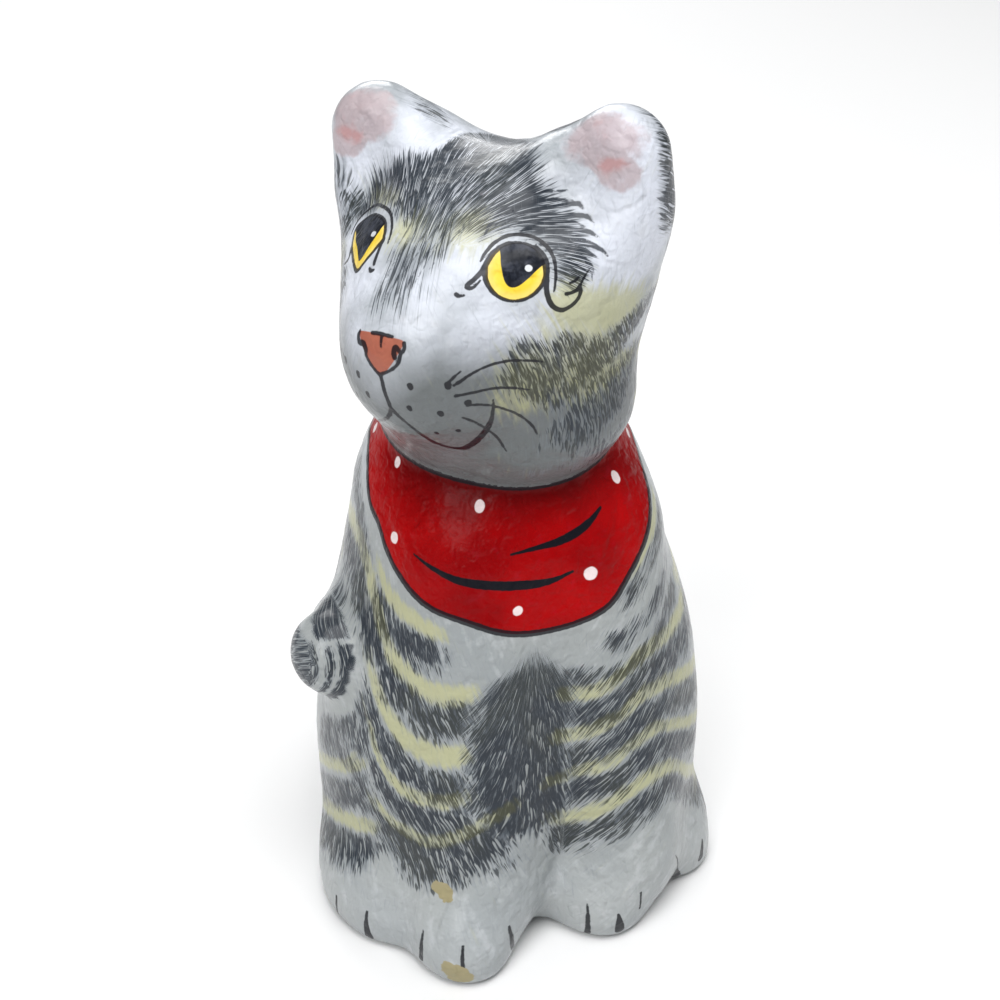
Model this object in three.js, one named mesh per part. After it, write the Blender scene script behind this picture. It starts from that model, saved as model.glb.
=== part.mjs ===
// A seated papier-mache cat, moulded in one piece: body, head, ears, paws and tail.
// The cat faces -Y, its left side is +X and it stands on z = 0. Lengths are millimetres
// and angles are degrees. Every form is a rounded mass, and neighbouring masses run into
// each other with a soft fillet, as layers of pasted paper do over a mould.

import * as THREE from 'three';

// ---- Driving dimensions -------------------------------------------------------------

// An ellipsoid form has a centre and radii, a limb is a round bar that tapers from one
// radius to another, and fillet is how far a form runs into the forms before it.

const TORSO = { from: [0, 14, 55.5], to: [0, 9.5, 112.5], radii: [50.5, 42], fillet: 0 };
const RUMP = { centre: [0, 14.5, 24.5], radii: [52.5, 44, 41.5], fillet: 21 };
const HAUNCH = { centre: [36.5, -2.5, 45.5], radii: [20, 31.5, 58.5], fillet: 17 };
const FORELEG = { from: [14, -12.5, 109.5], to: [21, -34.5, 17], radii: [24.5, 19.5], fillet: 20 };
const PAW_BRIDGE = { centre: [-2, -26, 6.5], radii: [21, 14.5, 21], fillet: 10 };
const NECK = { from: [0, 5.5, 134.5], to: [-1.5, 2, 166], radii: [31, 31.5], fillet: 17 };

// The paws differ a little from side to side, because the cat was shaped by hand.
const HIND_PAW = { radii: [16, 27, 19], fillet: 17 };
const HIND_PAW_CENTRES = [[-46, -12, 5], [43, -12.5, 5]];
const FRONT_PAW = { radii: [14, 18.5, 15], fillet: 16 };
const FRONT_PAW_CENTRES = [[-30.5, -43.5, 5], [12.5, -38.5, 5]];

// The head looks over the cat's right shoulder. Its forms are in its own frame: x to the
// cat's left, -y out of the face and z to the crown.
const HEAD_CENTRE = [-9.5, -9, 186];
const HEAD_TURN = { yaw: 50, pitch: -1, roll: -2 };
const CRANIUM = { centre: [0, 6, 1.5], radii: [40.5, 38.5, 32], fillet: 0 };
const JAW = { centre: [0, 4, -30], radii: [37, 30, 27], fillet: 25 };
const MUZZLE = { centre: [0, -26.5, -9], radii: [21, 21.5, 20.5], fillet: 30 };
const EAR = { from: [29, 8.5, 24], to: [35, 7, 34.5], radii: [18, 12.5], fillet: 25 };
const EAR_DISH = { centre: [32.5, -18, 32.5], radii: [12.5, 14.5, 16], lean: 20, fillet: 15 };
const CHIN_CREASE = 4.5;

// The tail rises from the rump round the right flank, and its tip drops on the haunch.
const TAIL_ROUTE = [
  { at: [0, 46, 18], radius: 13 },
  { at: [-27, 50.5, 43], radius: 12.5 },
  { at: [-40, 30, 65], radius: 12 },
  { at: [-45, 4, 82], radius: 11 },
  { at: [-54, -4, 80.5], radius: 12 },
];
const TAIL_BEND = 3;
const TAIL_FILLET = 9;

const BASE_ROUNDING = 3.5;

// The surface is laid out on a grid of this spacing inside a box that holds the cat.
const GRID_STEP = 5;
const GRID_LOW = [-80, -80, -7.5];
const GRID_HIGH = [75, 85, 250];

const COAT = { color: 0xc5cbd3, roughness: 0.28, metalness: 0 };

// ---- Signed distances, negative inside ------------------------------------------------

const dot = (a, b) => a[0] * b[0] + a[1] * b[1] + a[2] * b[2];
const minus = (a, b) => [a[0] - b[0], a[1] - b[1], a[2] - b[2]];
const mirrored = (place) => [-place[0], place[1], place[2]];

// Joins two distances; within the fillet the join is a smooth cubic.
function join(a, b, fillet) {
  if (fillet === 0) return Math.min(a, b);
  const near = Math.max(fillet - Math.abs(a - b), 0) / fillet;
  return Math.min(a, b) - near ** 3 * fillet / 6;
}

const cut = (a, tool, fillet) => -join(-a, tool, fillet);

function ellipsoid(point, centre, radii) {
  const offset = minus(point, centre);
  const scaled = Math.hypot(...offset.map((value, i) => value / radii[i]));
  const slope = Math.hypot(...offset.map((value, i) => value / radii[i] ** 2));
  return slope < 1e-9 ? -Math.min(...radii) : scaled * (scaled - 1) / slope;
}

function limb(point, from, to, [fromRadius, toRadius]) {
  const along = minus(to, from);
  const offset = minus(point, from);
  const length = Math.sqrt(dot(along, along));
  const place = dot(offset, along) / length;
  const aside = Math.sqrt(Math.max(dot(offset, offset) - place ** 2, 0));
  const taper = (fromRadius - toRadius) / length;
  const rise = Math.sqrt(1 - taper ** 2);
  const slid = (place * rise - aside * taper) / rise;
  if (slid < 0) return Math.hypot(place, aside) - fromRadius;
  if (slid > length) return Math.hypot(place - length, aside) - toRadius;
  return aside * rise + place * taper - fromRadius;
}

function form(point, shape) {
  if (shape.centre) return ellipsoid(point, shape.centre, shape.radii);
  return limb(point, shape.from, shape.to, shape.radii);
}

const joinAll = (point, shapes) =>
  shapes.reduce((sum, shape) => join(sum, form(point, shape), shape.fillet), Infinity);

function pair(shape) {
  const other = { ...shape };
  for (const key of ['centre', 'from', 'to']) {
    if (shape[key]) other[key] = mirrored(shape[key]);
  }
  return [other, shape];
}

// ---- The cat's masses --------------------------------------------------------------------

const placed = (shape, centres) => centres.map((centre) => ({ ...shape, centre }));

const BODY_FORMS = [
  TORSO,
  RUMP,
  ...pair(HAUNCH),
  ...pair(FORELEG),
  PAW_BRIDGE,
  ...placed(HIND_PAW, HIND_PAW_CENTRES),
  ...placed(FRONT_PAW, FRONT_PAW_CENTRES),
  NECK,
];

const HEAD_FORMS = [CRANIUM, JAW, MUZZLE, ...pair(EAR)];

const radians = THREE.MathUtils.degToRad;

const intoHead = new THREE.Matrix4()
  .makeTranslation(...HEAD_CENTRE)
  .multiply(new THREE.Matrix4().makeRotationZ(radians(-HEAD_TURN.yaw)))
  .multiply(new THREE.Matrix4().makeRotationX(radians(-HEAD_TURN.pitch)))
  .multiply(new THREE.Matrix4().makeRotationY(radians(HEAD_TURN.roll)))
  .invert();

// A shallow dish pressed into the front of each ear, leaning outwards with it.
function earDish(point, side) {
  const lean = radians(EAR_DISH.lean) * side;
  const offset = minus(point, [EAR_DISH.centre[0] * side, ...EAR_DISH.centre.slice(1)]);
  const leaned = [
    offset[0] * Math.cos(lean) - offset[2] * Math.sin(lean),
    offset[1],
    offset[0] * Math.sin(lean) + offset[2] * Math.cos(lean),
  ];
  return ellipsoid(leaned, [0, 0, 0], EAR_DISH.radii);
}

function headDistance(point) {
  const inHead = new THREE.Vector3(...point).applyMatrix4(intoHead).toArray();
  const solid = joinAll(inHead, HEAD_FORMS);
  return [-1, 1].reduce((rest, side) => cut(rest, earDish(inHead, side), EAR_DISH.fillet), solid);
}

function tailDistance(point) {
  let tail = Infinity;
  for (let i = 1; i < TAIL_ROUTE.length; i += 1) {
    const [start, end] = [TAIL_ROUTE[i - 1], TAIL_ROUTE[i]];
    const stretch = limb(point, start.at, end.at, [start.radius, end.radius]);
    tail = join(tail, stretch, TAIL_BEND);
  }
  return tail;
}

function catDistance(point) {
  const body = joinAll(point, BODY_FORMS);
  const withHead = join(body, headDistance(point), CHIN_CREASE);
  const withTail = join(withHead, tailDistance(point), TAIL_FILLET);
  return cut(withTail, point[2], BASE_ROUNDING);
}

// ---- From distance to a closed surface ------------------------------------------------------

const AXES = [0, 1, 2];

// One vertex for each grid cell that the surface passes through, at the mean of where it
// crosses the cell's edges, and one four-sided face around each crossed edge.
function surfaceNet(distance, low, high, step) {
  const counts = AXES.map((axis) => Math.ceil((high[axis] - low[axis]) / step) + 1);
  const strides = [1, counts[0], counts[0] * counts[1]];
  const corner = (cell) => AXES.map((axis) => low[axis] + cell[axis] * step);
  const indexOf = (cell) => dot(cell, strides);
  const values = new Float64Array(counts[0] * counts[1] * counts[2]);
  const cells = [];
  for (let k = 0; k < counts[2]; k += 1) {
    for (let j = 0; j < counts[1]; j += 1) {
      for (let i = 0; i < counts[0]; i += 1) cells.push([i, j, k]);
    }
  }
  cells.forEach((cell, index) => { values[index] = distance(corner(cell)); });

  const sums = new Map();
  const faces = [];
  for (const cell of cells) {
    const here = values[indexOf(cell)];
    for (const axis of AXES) {
      if (cell[axis] + 1 >= counts[axis]) continue;
      const there = values[indexOf(cell) + strides[axis]];
      if ((here < 0) === (there < 0)) continue;
      const crossing = corner(cell);
      crossing[axis] += step * here / (here - there);
      const [second, third] = [(axis + 1) % 3, (axis + 2) % 3];
      const start = indexOf(cell);
      const ring = [
        start,
        start - strides[second],
        start - strides[second] - strides[third],
        start - strides[third],
      ];
      for (const key of ring) {
        const sum = sums.get(key) ?? { place: [0, 0, 0], count: 0 };
        AXES.forEach((i) => { sum.place[i] += crossing[i]; });
        sum.count += 1;
        sums.set(key, sum);
      }
      faces.push(here < 0 ? ring : ring.reverse());
    }
  }
  const numbers = new Map([...sums.keys()].map((key, number) => [key, number]));
  const vertices = [...sums.values()].map(({ place, count }) => place.map((value) => value / count));
  return { vertices, faces: faces.map((ring) => ring.map((key) => numbers.get(key))) };
}

// Moves a point along the steepest way until it lies on the surface.
function settled(point, distance) {
  const reach = 0.05;
  const rounds = 4;
  let place = point;
  for (let round = 0; round < rounds; round += 1) {
    const slope = AXES.map((axis) => {
      const ahead = place.with(axis, place[axis] + reach);
      const behind = place.with(axis, place[axis] - reach);
      return (distance(ahead) - distance(behind)) / (2 * reach);
    });
    const travel = distance(place) / Math.max(dot(slope, slope), 0.2);
    place = place.map((value, axis) => value - slope[axis] * travel);
  }
  return place;
}

const apart = (a, b) => Math.hypot(...minus(a, b));

// Splits each four-sided face across its shorter diagonal.
function triangles({ vertices, faces }) {
  return faces.flatMap(([a, b, c, d]) => {
    const shortFirst = apart(vertices[a], vertices[c]) <= apart(vertices[b], vertices[d]);
    return shortFirst ? [a, b, c, a, c, d] : [b, c, d, b, d, a];
  });
}

function catGeometry() {
  const net = surfaceNet(catDistance, GRID_LOW, GRID_HIGH, GRID_STEP);
  net.vertices = net.vertices.map((vertex) => settled(vertex, catDistance));
  const geometry = new THREE.BufferGeometry();
  geometry.setAttribute('position', new THREE.Float32BufferAttribute(net.vertices.flat(), 3));
  geometry.setIndex(triangles(net));
  geometry.computeBoundingBox();
  const middle = geometry.boundingBox.getCenter(new THREE.Vector3());
  geometry.translate(-middle.x, -middle.y, 0);
  geometry.computeVertexNormals();
  return geometry;
}

// ---- The part ----------------------------------------------------------------------------------

const cat = new THREE.Mesh(catGeometry(), new THREE.MeshStandardMaterial(COAT));
cat.name = 'papier_mache_cat';

const part = new THREE.Group();
part.add(cat);

export default part;
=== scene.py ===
"""The papier-mache cat's paper skin and its painting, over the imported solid, on a plain stage.

Lengths inside the cat are millimetres in its mould's frame: it faces -Y, its left is +X and
it stands on z = 0. Two charts lay out the painting. The face chart is flat round the nose:
x to the cat's left and z to the crown, both millimetres along the skin. The body chart has
the angle round the body, in degrees from the front towards the cat's left, and the height.
In the functions, p is an array of points, one in each row, in the mould's frame.
"""

from math import cos, pi, radians, sin

import bmesh
import bpy
import numpy as np
from bpy.props import FloatProperty, FloatVectorProperty, IntProperty, PointerProperty
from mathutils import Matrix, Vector


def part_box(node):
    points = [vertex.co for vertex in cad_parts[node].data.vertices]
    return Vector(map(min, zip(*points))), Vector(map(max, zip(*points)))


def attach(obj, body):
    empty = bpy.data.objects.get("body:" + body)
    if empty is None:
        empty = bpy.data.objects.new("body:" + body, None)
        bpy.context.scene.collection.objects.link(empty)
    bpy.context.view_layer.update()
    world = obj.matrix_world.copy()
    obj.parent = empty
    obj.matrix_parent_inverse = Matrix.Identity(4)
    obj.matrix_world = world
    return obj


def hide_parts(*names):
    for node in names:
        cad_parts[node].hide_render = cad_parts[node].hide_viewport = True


bl_info = {
    "name": "Papier-mache cat",
    "version": (1, 0, 0),
    "blender": (4, 5, 0),
    "location": "3D View > Sidebar > Paper cat",
    "description": "Lays the paper skin and the painting over the packed cat, and sets its stage",
    "category": "Object",
}

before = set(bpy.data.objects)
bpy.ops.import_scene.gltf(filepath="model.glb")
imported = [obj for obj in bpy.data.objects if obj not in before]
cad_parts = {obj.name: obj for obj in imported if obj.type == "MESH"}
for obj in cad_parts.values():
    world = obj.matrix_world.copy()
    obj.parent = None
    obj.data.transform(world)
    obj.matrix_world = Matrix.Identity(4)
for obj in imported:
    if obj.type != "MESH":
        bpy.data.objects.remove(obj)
NODE = "papier_mache_cat"
BODY = "root"
CAT_LOW, CAT_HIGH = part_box(NODE)
CAT_HEIGHT = CAT_HIGH.z - CAT_LOW.z

# ---- The mould -------------------------------------------------------------------

MOULD_HEIGHT = 234.18
TINY = 1e-9   # keeps a divisor from being nothing

# A mass is (centre, radii, fillet), a bar is (start, end, start radius, end radius, fillet).
TORSO = ((0, 14, 55.5), (0, 9.5, 112.5), 50.5, 42, 0)
RUMP = ((0, 14.5, 24.5), (52.5, 44, 41.5), 21)
HAUNCH = ((36.5, -2.5, 45.5), (20, 31.5, 58.5), 17)
FORELEG = ((14, -12.5, 109.5), (21, -34.5, 17), 24.5, 19.5, 20)
PAW_BRIDGE = ((-2, -26, 6.5), (21, 14.5, 21), 10)
HIND_PAWS = (((-46, -12, 5), (16, 27, 19), 17), ((43, -12.5, 5), (16, 27, 19), 17))
FRONT_PAWS = (((-30.5, -43.5, 5), (14, 18.5, 15), 16), ((12.5, -38.5, 5), (14, 18.5, 15), 16))
NECK = ((0, 5.5, 134.5), (-1.5, 2, 166), 31, 31.5, 17)

HEAD_CENTRE = np.array((-9.5, -9.0, 186.0))
HEAD_YAW, HEAD_PITCH, HEAD_ROLL = radians(50), radians(-1), radians(-2)
CRANIUM = ((0, 6, 1.5), (40.5, 38.5, 32), 0)
JAW = ((0, 4, -30), (37, 30, 27), 25)
MUZZLE = ((0, -26.5, -9), (21, 21.5, 20.5), 30)
EAR = ((29, 8.5, 24), (35, 7, 34.5), 18, 12.5, 25)
EAR_DISH = ((32.5, -18, 32.5), (12.5, 14.5, 16), 15)
EAR_LEAN = radians(20)
CHIN_CREASE = 4.5

# The tail's middle line from the rump to the tip, each place with its radius.
TAIL = (
    ((0, 46, 18), 13), ((-27, 50.5, 43), 12.5), ((-40, 30, 65), 12),
    ((-45, 4, 82), 11), ((-54, -4, 80.5), 12),
)
TAIL_BEND = 3
TAIL_FILLET = 9
BASE_ROUNDING = 3.5
PROBE = 0.05                # how far off a point the slope of a distance is measured
LEAST_SQUARED_SLOPE = 0.2   # keeps settle's steps short in the creases


def join(a, b, fillet):
    """The union of two distances, with a smooth fillet between them."""
    if fillet == 0:
        return np.minimum(a, b)
    near = np.maximum(fillet - np.abs(a - b), 0) / fillet
    return np.minimum(a, b) - near ** 3 * fillet / 6


def mass(p, centre, radii):
    """About how far points are outside an ellipsoid, negative inside it."""
    offset = p - np.array(centre, float)
    scaled = np.linalg.norm(offset / radii, axis=-1)
    steepness = np.linalg.norm(offset / np.square(radii), axis=-1)
    return scaled * (scaled - 1) / np.maximum(steepness, TINY)


def bar(p, start, end, start_radius, end_radius):
    """How far points are outside a round bar that tapers between two balls."""
    start, end = np.array(start, float), np.array(end, float)
    along, offset = end - start, p - start
    length = np.linalg.norm(along)
    place = offset @ along / length
    aside = np.sqrt(np.maximum((offset * offset).sum(-1) - place ** 2, 0))
    taper = (start_radius - end_radius) / length
    rise = np.sqrt(1 - taper ** 2)
    slid = (place * rise - aside * taper) / rise
    side = aside * rise + place * taper - start_radius
    side = np.where(slid < 0, np.hypot(place, aside) - start_radius, side)
    return np.where(slid > length, np.hypot(place - length, aside) - end_radius, side)


def form(p, shape, side):
    """A mass or a bar, on the cat's left, or on its right where side is -1."""
    flip = np.array((side, 1, 1))
    if len(shape) == 3:
        return mass(p * flip, *shape[:2])
    return bar(p * flip, *shape[:4])


def join_all(p, shapes):
    """The distance to all of the shapes, each joined to the ones before it by its own fillet."""
    total = None
    for shape, side in shapes:
        here = form(p, shape, side)
        total = here if total is None else join(total, here, shape[-1])
    return total


def turn(axis, angle):
    """The matrix of a turn about one axis."""
    c, s = cos(angle), sin(angle)
    turns = {
        "x": ((1, 0, 0), (0, c, -s), (0, s, c)),
        "y": ((c, 0, s), (0, 1, 0), (-s, 0, c)),
        "z": ((c, -s, 0), (s, c, 0), (0, 0, 1)),
    }
    return np.array(turns[axis], float)


HEAD_TURN = turn("z", -HEAD_YAW) @ turn("x", -HEAD_PITCH) @ turn("y", HEAD_ROLL)
BODY_FORMS = [
    (TORSO, 1), (RUMP, 1), (HAUNCH, -1), (HAUNCH, 1), (FORELEG, -1), (FORELEG, 1), (PAW_BRIDGE, 1),
    (HIND_PAWS[0], 1), (HIND_PAWS[1], 1), (FRONT_PAWS[0], 1), (FRONT_PAWS[1], 1), (NECK, 1),
]
HEAD_FORMS = [(CRANIUM, 1), (JAW, 1), (MUZZLE, 1), (EAR, -1), (EAR, 1)]


def into_head(p):
    """Points in the head's own frame, where the nose points to -Y."""
    return (p - HEAD_CENTRE) @ HEAD_TURN


def body_distance(p):
    return join_all(p, BODY_FORMS)


def head_distance(p):
    in_head = into_head(p)
    head = join_all(in_head, HEAD_FORMS)
    centre, radii, fillet = EAR_DISH
    for side in (-1, 1):
        leaned = (in_head - np.array(centre) * (side, 1, 1)) @ turn("y", EAR_LEAN * side).T
        head = -join(-head, mass(leaned, (0, 0, 0), radii), fillet)
    return head


def tail_distance(p):
    tail = None
    for (start, start_radius), (end, end_radius) in zip(TAIL, TAIL[1:]):
        stretch = bar(p, start, end, start_radius, end_radius)
        tail = stretch if tail is None else join(tail, stretch, TAIL_BEND)
    return tail


def cat_distance(p):
    whole = join(body_distance(p), head_distance(p), CHIN_CREASE)
    whole = join(whole, tail_distance(p), TAIL_FILLET)
    return -join(-whole, p[..., 2], BASE_ROUNDING)


def slope(p, distance):
    """Which way, and how fast, a distance grows at each point."""
    steps = np.eye(3) * PROBE
    return np.stack([(distance(p + step) - distance(p - step)) / (2 * PROBE) for step in steps], -1)


def settle(p, rounds=2):
    """Moves points along the steepest way onto the cat's surface."""
    for _ in range(rounds):
        steepest = slope(p, cat_distance)
        squared = np.maximum((steepest * steepest).sum(-1), LEAST_SQUARED_SLOPE)
        p = p - steepest * (cat_distance(p) / squared)[:, None]
    return p


# ---- Charts and painted lines ----------------------------------------------------

FACE_CENTRE = np.array((0.0, 4.0, -5.0))
FACE_RADIUS = 40
BODY_AXIS_Y = 8
# Millimetres along the skin for each degree round the body, and the same where the scarf's dots
# and its edge lie.
DEGREE, DOT_DEGREE, EDGE_DEGREE = 0.85, 0.8, 0.75
# How far off painted strokes and outlines are still measured, and the distance that stands for
# anything farther off, in millimetres. Points are tried against a stroke within its box.
STROKE_REACH, OUTLINE_REACH, FAR = 3.0, 6.0, 9.0
STROKE_BOX = 4.0
PATH_CUTS = 5


def face_chart(p):
    way = into_head(p) - FACE_CENTRE
    way = way / np.maximum(np.linalg.norm(way, axis=-1), TINY)[:, None]
    reach = np.arccos(np.clip(-way[:, 1], -1, 1)) * FACE_RADIUS
    spread = np.maximum(np.hypot(way[:, 0], way[:, 2]), TINY)
    return reach * way[:, 0] / spread, reach * way[:, 2] / spread


def body_chart(p):
    return np.degrees(np.arctan2(p[:, 0], BODY_AXIS_Y - p[:, 1])), p[:, 2]


def smooth_path(points, closed=False):
    """A Catmull-Rom curve through points of any number of values."""
    knots = np.array(points, float)
    if closed:
        knots = np.vstack([knots[-1], knots, knots[:2]])
    else:
        knots = np.vstack([2 * knots[0] - knots[1], knots, 2 * knots[-1] - knots[-2]])
    t = np.linspace(0, 1, PATH_CUTS, endpoint=False)[:, None]
    spans = []
    for a, b, c, d in zip(knots, knots[1:], knots[2:], knots[3:]):
        spans.append(0.5 * (2 * b + (c - a) * t + (2 * a - 5 * b + 4 * c - d) * t ** 2
                            + (3 * b - a - 3 * c + d) * t ** 3))
    if not closed:
        spans.append(knots[-2:-1])
    return np.vstack(spans)


def line_distance(x, z, start, end):
    """The distance to a straight piece, and how far along it the nearest place is, from 0 to 1."""
    along = end - start
    share = ((x - start[0]) * along[0] + (z - start[1]) * along[1]) / max(along @ along, TINY)
    share = np.clip(share, 0, 1)
    return np.hypot(x - start[0] - share * along[0], z - start[1] - share * along[1]), share


def stroke_distance(x, z, strokes):
    """How far a point is outside the nearest brush stroke, negative on it.
    A stroke is a row of (x, z, width)."""
    nearest = np.full(len(x), STROKE_REACH)
    for stroke in strokes:
        path = smooth_path(stroke)
        low, high = path[:, :2].min(0) - STROKE_BOX, path[:, :2].max(0) + STROKE_BOX
        near = np.flatnonzero((x > low[0]) & (x < high[0]) & (z > low[1]) & (z < high[1]))
        best = nearest[near]
        for a, b in zip(path, path[1:]):
            away, share = line_distance(x[near], z[near], a[:2], b[:2])
            best = np.minimum(best, away - (a[2] + (b[2] - a[2]) * share) / 2)
        nearest[near] = best
    return nearest


def area_distance(x, z, outline):
    """How far a point is outside a closed smooth outline, negative inside it."""
    path = smooth_path(outline, closed=True)
    away, inside = np.full(len(x), OUTLINE_REACH), np.zeros(len(x), bool)
    for a, b in zip(path, np.roll(path, -1, 0)):
        away = np.minimum(away, line_distance(x, z, a, b)[0])
        crosses = (a[1] > z) != (b[1] > z)
        run = (b[0] - a[0]) / (b[1] - a[1] if b[1] != a[1] else 1)
        inside ^= crosses & (x < a[0] + (z - a[1]) * run)
    return np.where(inside, -away, away)


def spots_distance(angle, height, spots, degree):
    """How far a point of the body chart is outside the nearest round spot, FAR at most."""
    nearest = np.full(len(angle), FAR)
    for spot_angle, spot_height, radius in spots:
        gap = (np.mod(angle - spot_angle + 180, 360) - 180) * degree
        nearest = np.minimum(nearest, np.hypot(gap, height - spot_height) - radius)
    return nearest


def body_stroke_distance(angle, height, strokes, breadth=1.0):
    """The same as stroke_distance, for strokes whose places are in degrees and height."""
    laid = [[(a * DEGREE, h, breadth * width) for a, h, width in stroke] for stroke in strokes]
    return stroke_distance(angle * DEGREE, height, laid)


def mirrored(strokes):
    return [[(-x, z, width) for x, z, width in stroke] for stroke in strokes]


# ---- The painted face, on the face chart -----------------------------------------

# An outline is a row of (x, z), a stroke a row of (x, z, width).
LEFT_EYE_X, LEFT_EYE_Z, LEFT_EYE_RADIUS, LEFT_LID_RADIUS = 25.3, 20.8, 7.5, 7.6
LEFT_EYE = [(LEFT_EYE_X + LEFT_EYE_RADIUS * cos(t), LEFT_EYE_Z + LEFT_EYE_RADIUS * sin(t))
            for t in np.arange(0, 2 * pi, pi / 8)]
LEFT_PUPIL = [
    (20.9, 29), (20.9, 24), (21.7, 20.5), (22.7, 17.8), (24.1, 16.5), (26, 16.8),
    (28.3, 18.7), (30.4, 21), (32.2, 22.6), (35, 24), (33, 30),
]
RIGHT_EYE = [
    (-12.3, 24.5), (-14, 27.4), (-17, 29.5), (-22, 30.4), (-27, 30.3), (-31.5, 29), (-34, 26.6),
    (-35, 24.3), (-32.8, 21.9), (-28.5, 19.4), (-23.5, 17.2), (-19.6, 15.7), (-17.3, 15.5),
    (-15.6, 17.6), (-13.6, 21.2),
]
RIGHT_PUPIL = [
    (-15.8, 31), (-16, 27), (-17, 22.5), (-17.7, 19.2), (-18.8, 17.7), (-20.6, 18.3), (-24.5, 20.3),
    (-29, 21.9), (-32.5, 23.4), (-37, 25), (-36, 30), (-27, 33),
]
NOSE = [(-6.9, 4.3), (-6.3, 5), (-2.5, 5.3), (1.5, 5.1), (3.4, 4.8), (3.6, 3.9), (1.4, 0), (-0.9, -2),
        (-3.6, 0.3)]
EYE_GLINTS = [[(28.2, 21.6, 1.8), (28.4, 21.5, 1.8)], [(-18.9, 25.2, 1.5), (-17.9, 25.2, 1.5)]]

LEFT_EYE_LINES = [
    [(LEFT_EYE_X + LEFT_LID_RADIUS * cos(t), LEFT_EYE_Z + LEFT_LID_RADIUS * sin(t),
      0.85 + 0.25 * cos(2 * t)) for t in np.arange(0, 2.05 * pi, pi / 10)],
    [(22.5, 28, 0.9), (20.3, 26.5, 1.1), (18.6, 24, 1.2), (17.6, 21.5, 1.2), (16.8, 19.5, 1.1),
     (15.5, 17.8, 1), (14.3, 16.4, 1)],
    [(14.2, 16, 0.8), (15.3, 15.8, 0.7), (16.3, 16.8, 0.5), (17, 17.7, 0.3)],
    [(12.3, 14.3, 0.8), (12.9, 14, 0.7), (14, 14.2, 0.4)],
    [(16.3, 22.3, 0.4), (17, 24.5, 0.7), (18.5, 27.2, 0.8), (21, 29.5, 0.9), (24, 30.6, 0.9),
     (27.5, 30.7, 0.9), (30.5, 29.6, 0.9), (33, 27.3, 0.9), (34.6, 24.3, 0.8), (35.3, 20.5, 0.7),
     (35.3, 17, 0.5), (35.1, 15.2, 0.3)],
    [(29.5, 27.5, 1.2), (31.8, 25, 1.6), (32.8, 21.8, 1.6), (33, 18.5, 1.4), (33.2, 15.5, 1.3),
     (34.1, 12.6, 1.2), (35.8, 10.7, 1.1), (37.8, 10.1, 1.1), (39.9, 10.9, 1), (41.4, 12.6, 0.9),
     (42, 14.5, 0.8), (41.7, 16.4, 0.6), (42.5, 18.8, 0.4), (43.3, 20.6, 0.3)],
    [(38.3, 14.4, 0.9), (39.5, 14.5, 0.9), (40.9, 15.2, 0.9), (41.7, 16.6, 0.7)],
    [(39.2, 17.3, 0.7), (40.4, 17.9, 0.7), (41.3, 19, 0.3)],
]
RIGHT_EYE_LINES = [
    [(x, z, 0.9) for x, z in RIGHT_EYE + RIGHT_EYE[:1]],
    [(-12.2, 24.5, 0.9), (-11.6, 20.8, 0.9), (-11.2, 18.6, 0.9), (-10.8, 18, 0.6)],
    [(-12, 17, 0.5), (-10.9, 16.5, 0.9), (-10, 16.8, 0.6)],
    [(-9.8, 23.6, 0.4), (-10.5, 26, 0.6), (-12.3, 28.8, 0.7), (-15, 31.2, 0.8), (-18.5, 32.6, 0.9),
     (-23, 33.3, 0.9), (-28, 33.6, 0.9), (-32, 32.8, 0.9), (-35, 30.6, 0.9), (-36.8, 28, 0.8),
     (-37.2, 25, 0.7), (-36.4, 22.3, 0.4)],
    [(-30, 19.8, 0.7), (-28.4, 18, 0.9), (-28, 16.7, 0.9), (-29.2, 15.4, 0.8), (-31, 14.6, 0.6)],
]
NOSE_LINES = [
    [(-6.8, 4.9, 0.5), (-7.1, 3.8, 0.8), (-6.5, 2.8, 0.9), (-5.2, 2.9, 1), (-4.4, 2, 0.9), (-4.2, 1, 0.6),
     (-3, -0.5, 0.5), (-1.6, -1.6, 0.5), (-0.9, -1.9, 0.5)],
    [(3.7, 4.4, 0.6), (3.9, 3.4, 0.6), (3.3, 2.6, 0.6), (2.2, 3.5, 0.8), (1.9, 2.6, 0.9), (2.2, 1.6, 0.8)],
    [(3.3, 2.4, 0.6), (2.8, 0.5, 0.6), (1.2, -0.9, 0.5), (-0.8, -1.9, 0.5)],
    [(-3.4, 5.2, 0.5), (-1.2, 5.4, 0.6), (1.2, 5.2, 0.4)],
    [(-1.1, 5.2, 0.5), (-0.9, 3.1, 0.3)],
]
MOUTH_LINES = [
    [(-0.8, -2, 0.7), (-0.4, -4.5, 0.7), (0, -7.5, 0.7), (0.2, -9, 0.8), (1.5, -11.5, 0.7),
     (3, -14.5, 0.7), (4.3, -18.5, 0.9), (5.3, -22, 1.1), (6.8, -24.5, 1.4), (9.5, -25.6, 1.8),
     (12, -24.2, 1.9), (14.8, -21.7, 1.8), (17.2, -18.8, 1.5), (18.8, -15.5, 0.9), (19.7, -12, 0.5),
     (19.9, -9.8, 0.3)],
    [(0.1, -9.3, 0.7), (-1.3, -11.5, 0.7), (-3.6, -13.6, 0.6), (-6.3, -15.6, 0.6), (-9.5, -18.2, 0.7),
     (-13, -20, 1), (-16.5, -19, 1), (-19, -15.5, 0.6), (-19.8, -12, 0.3)],
]
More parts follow.
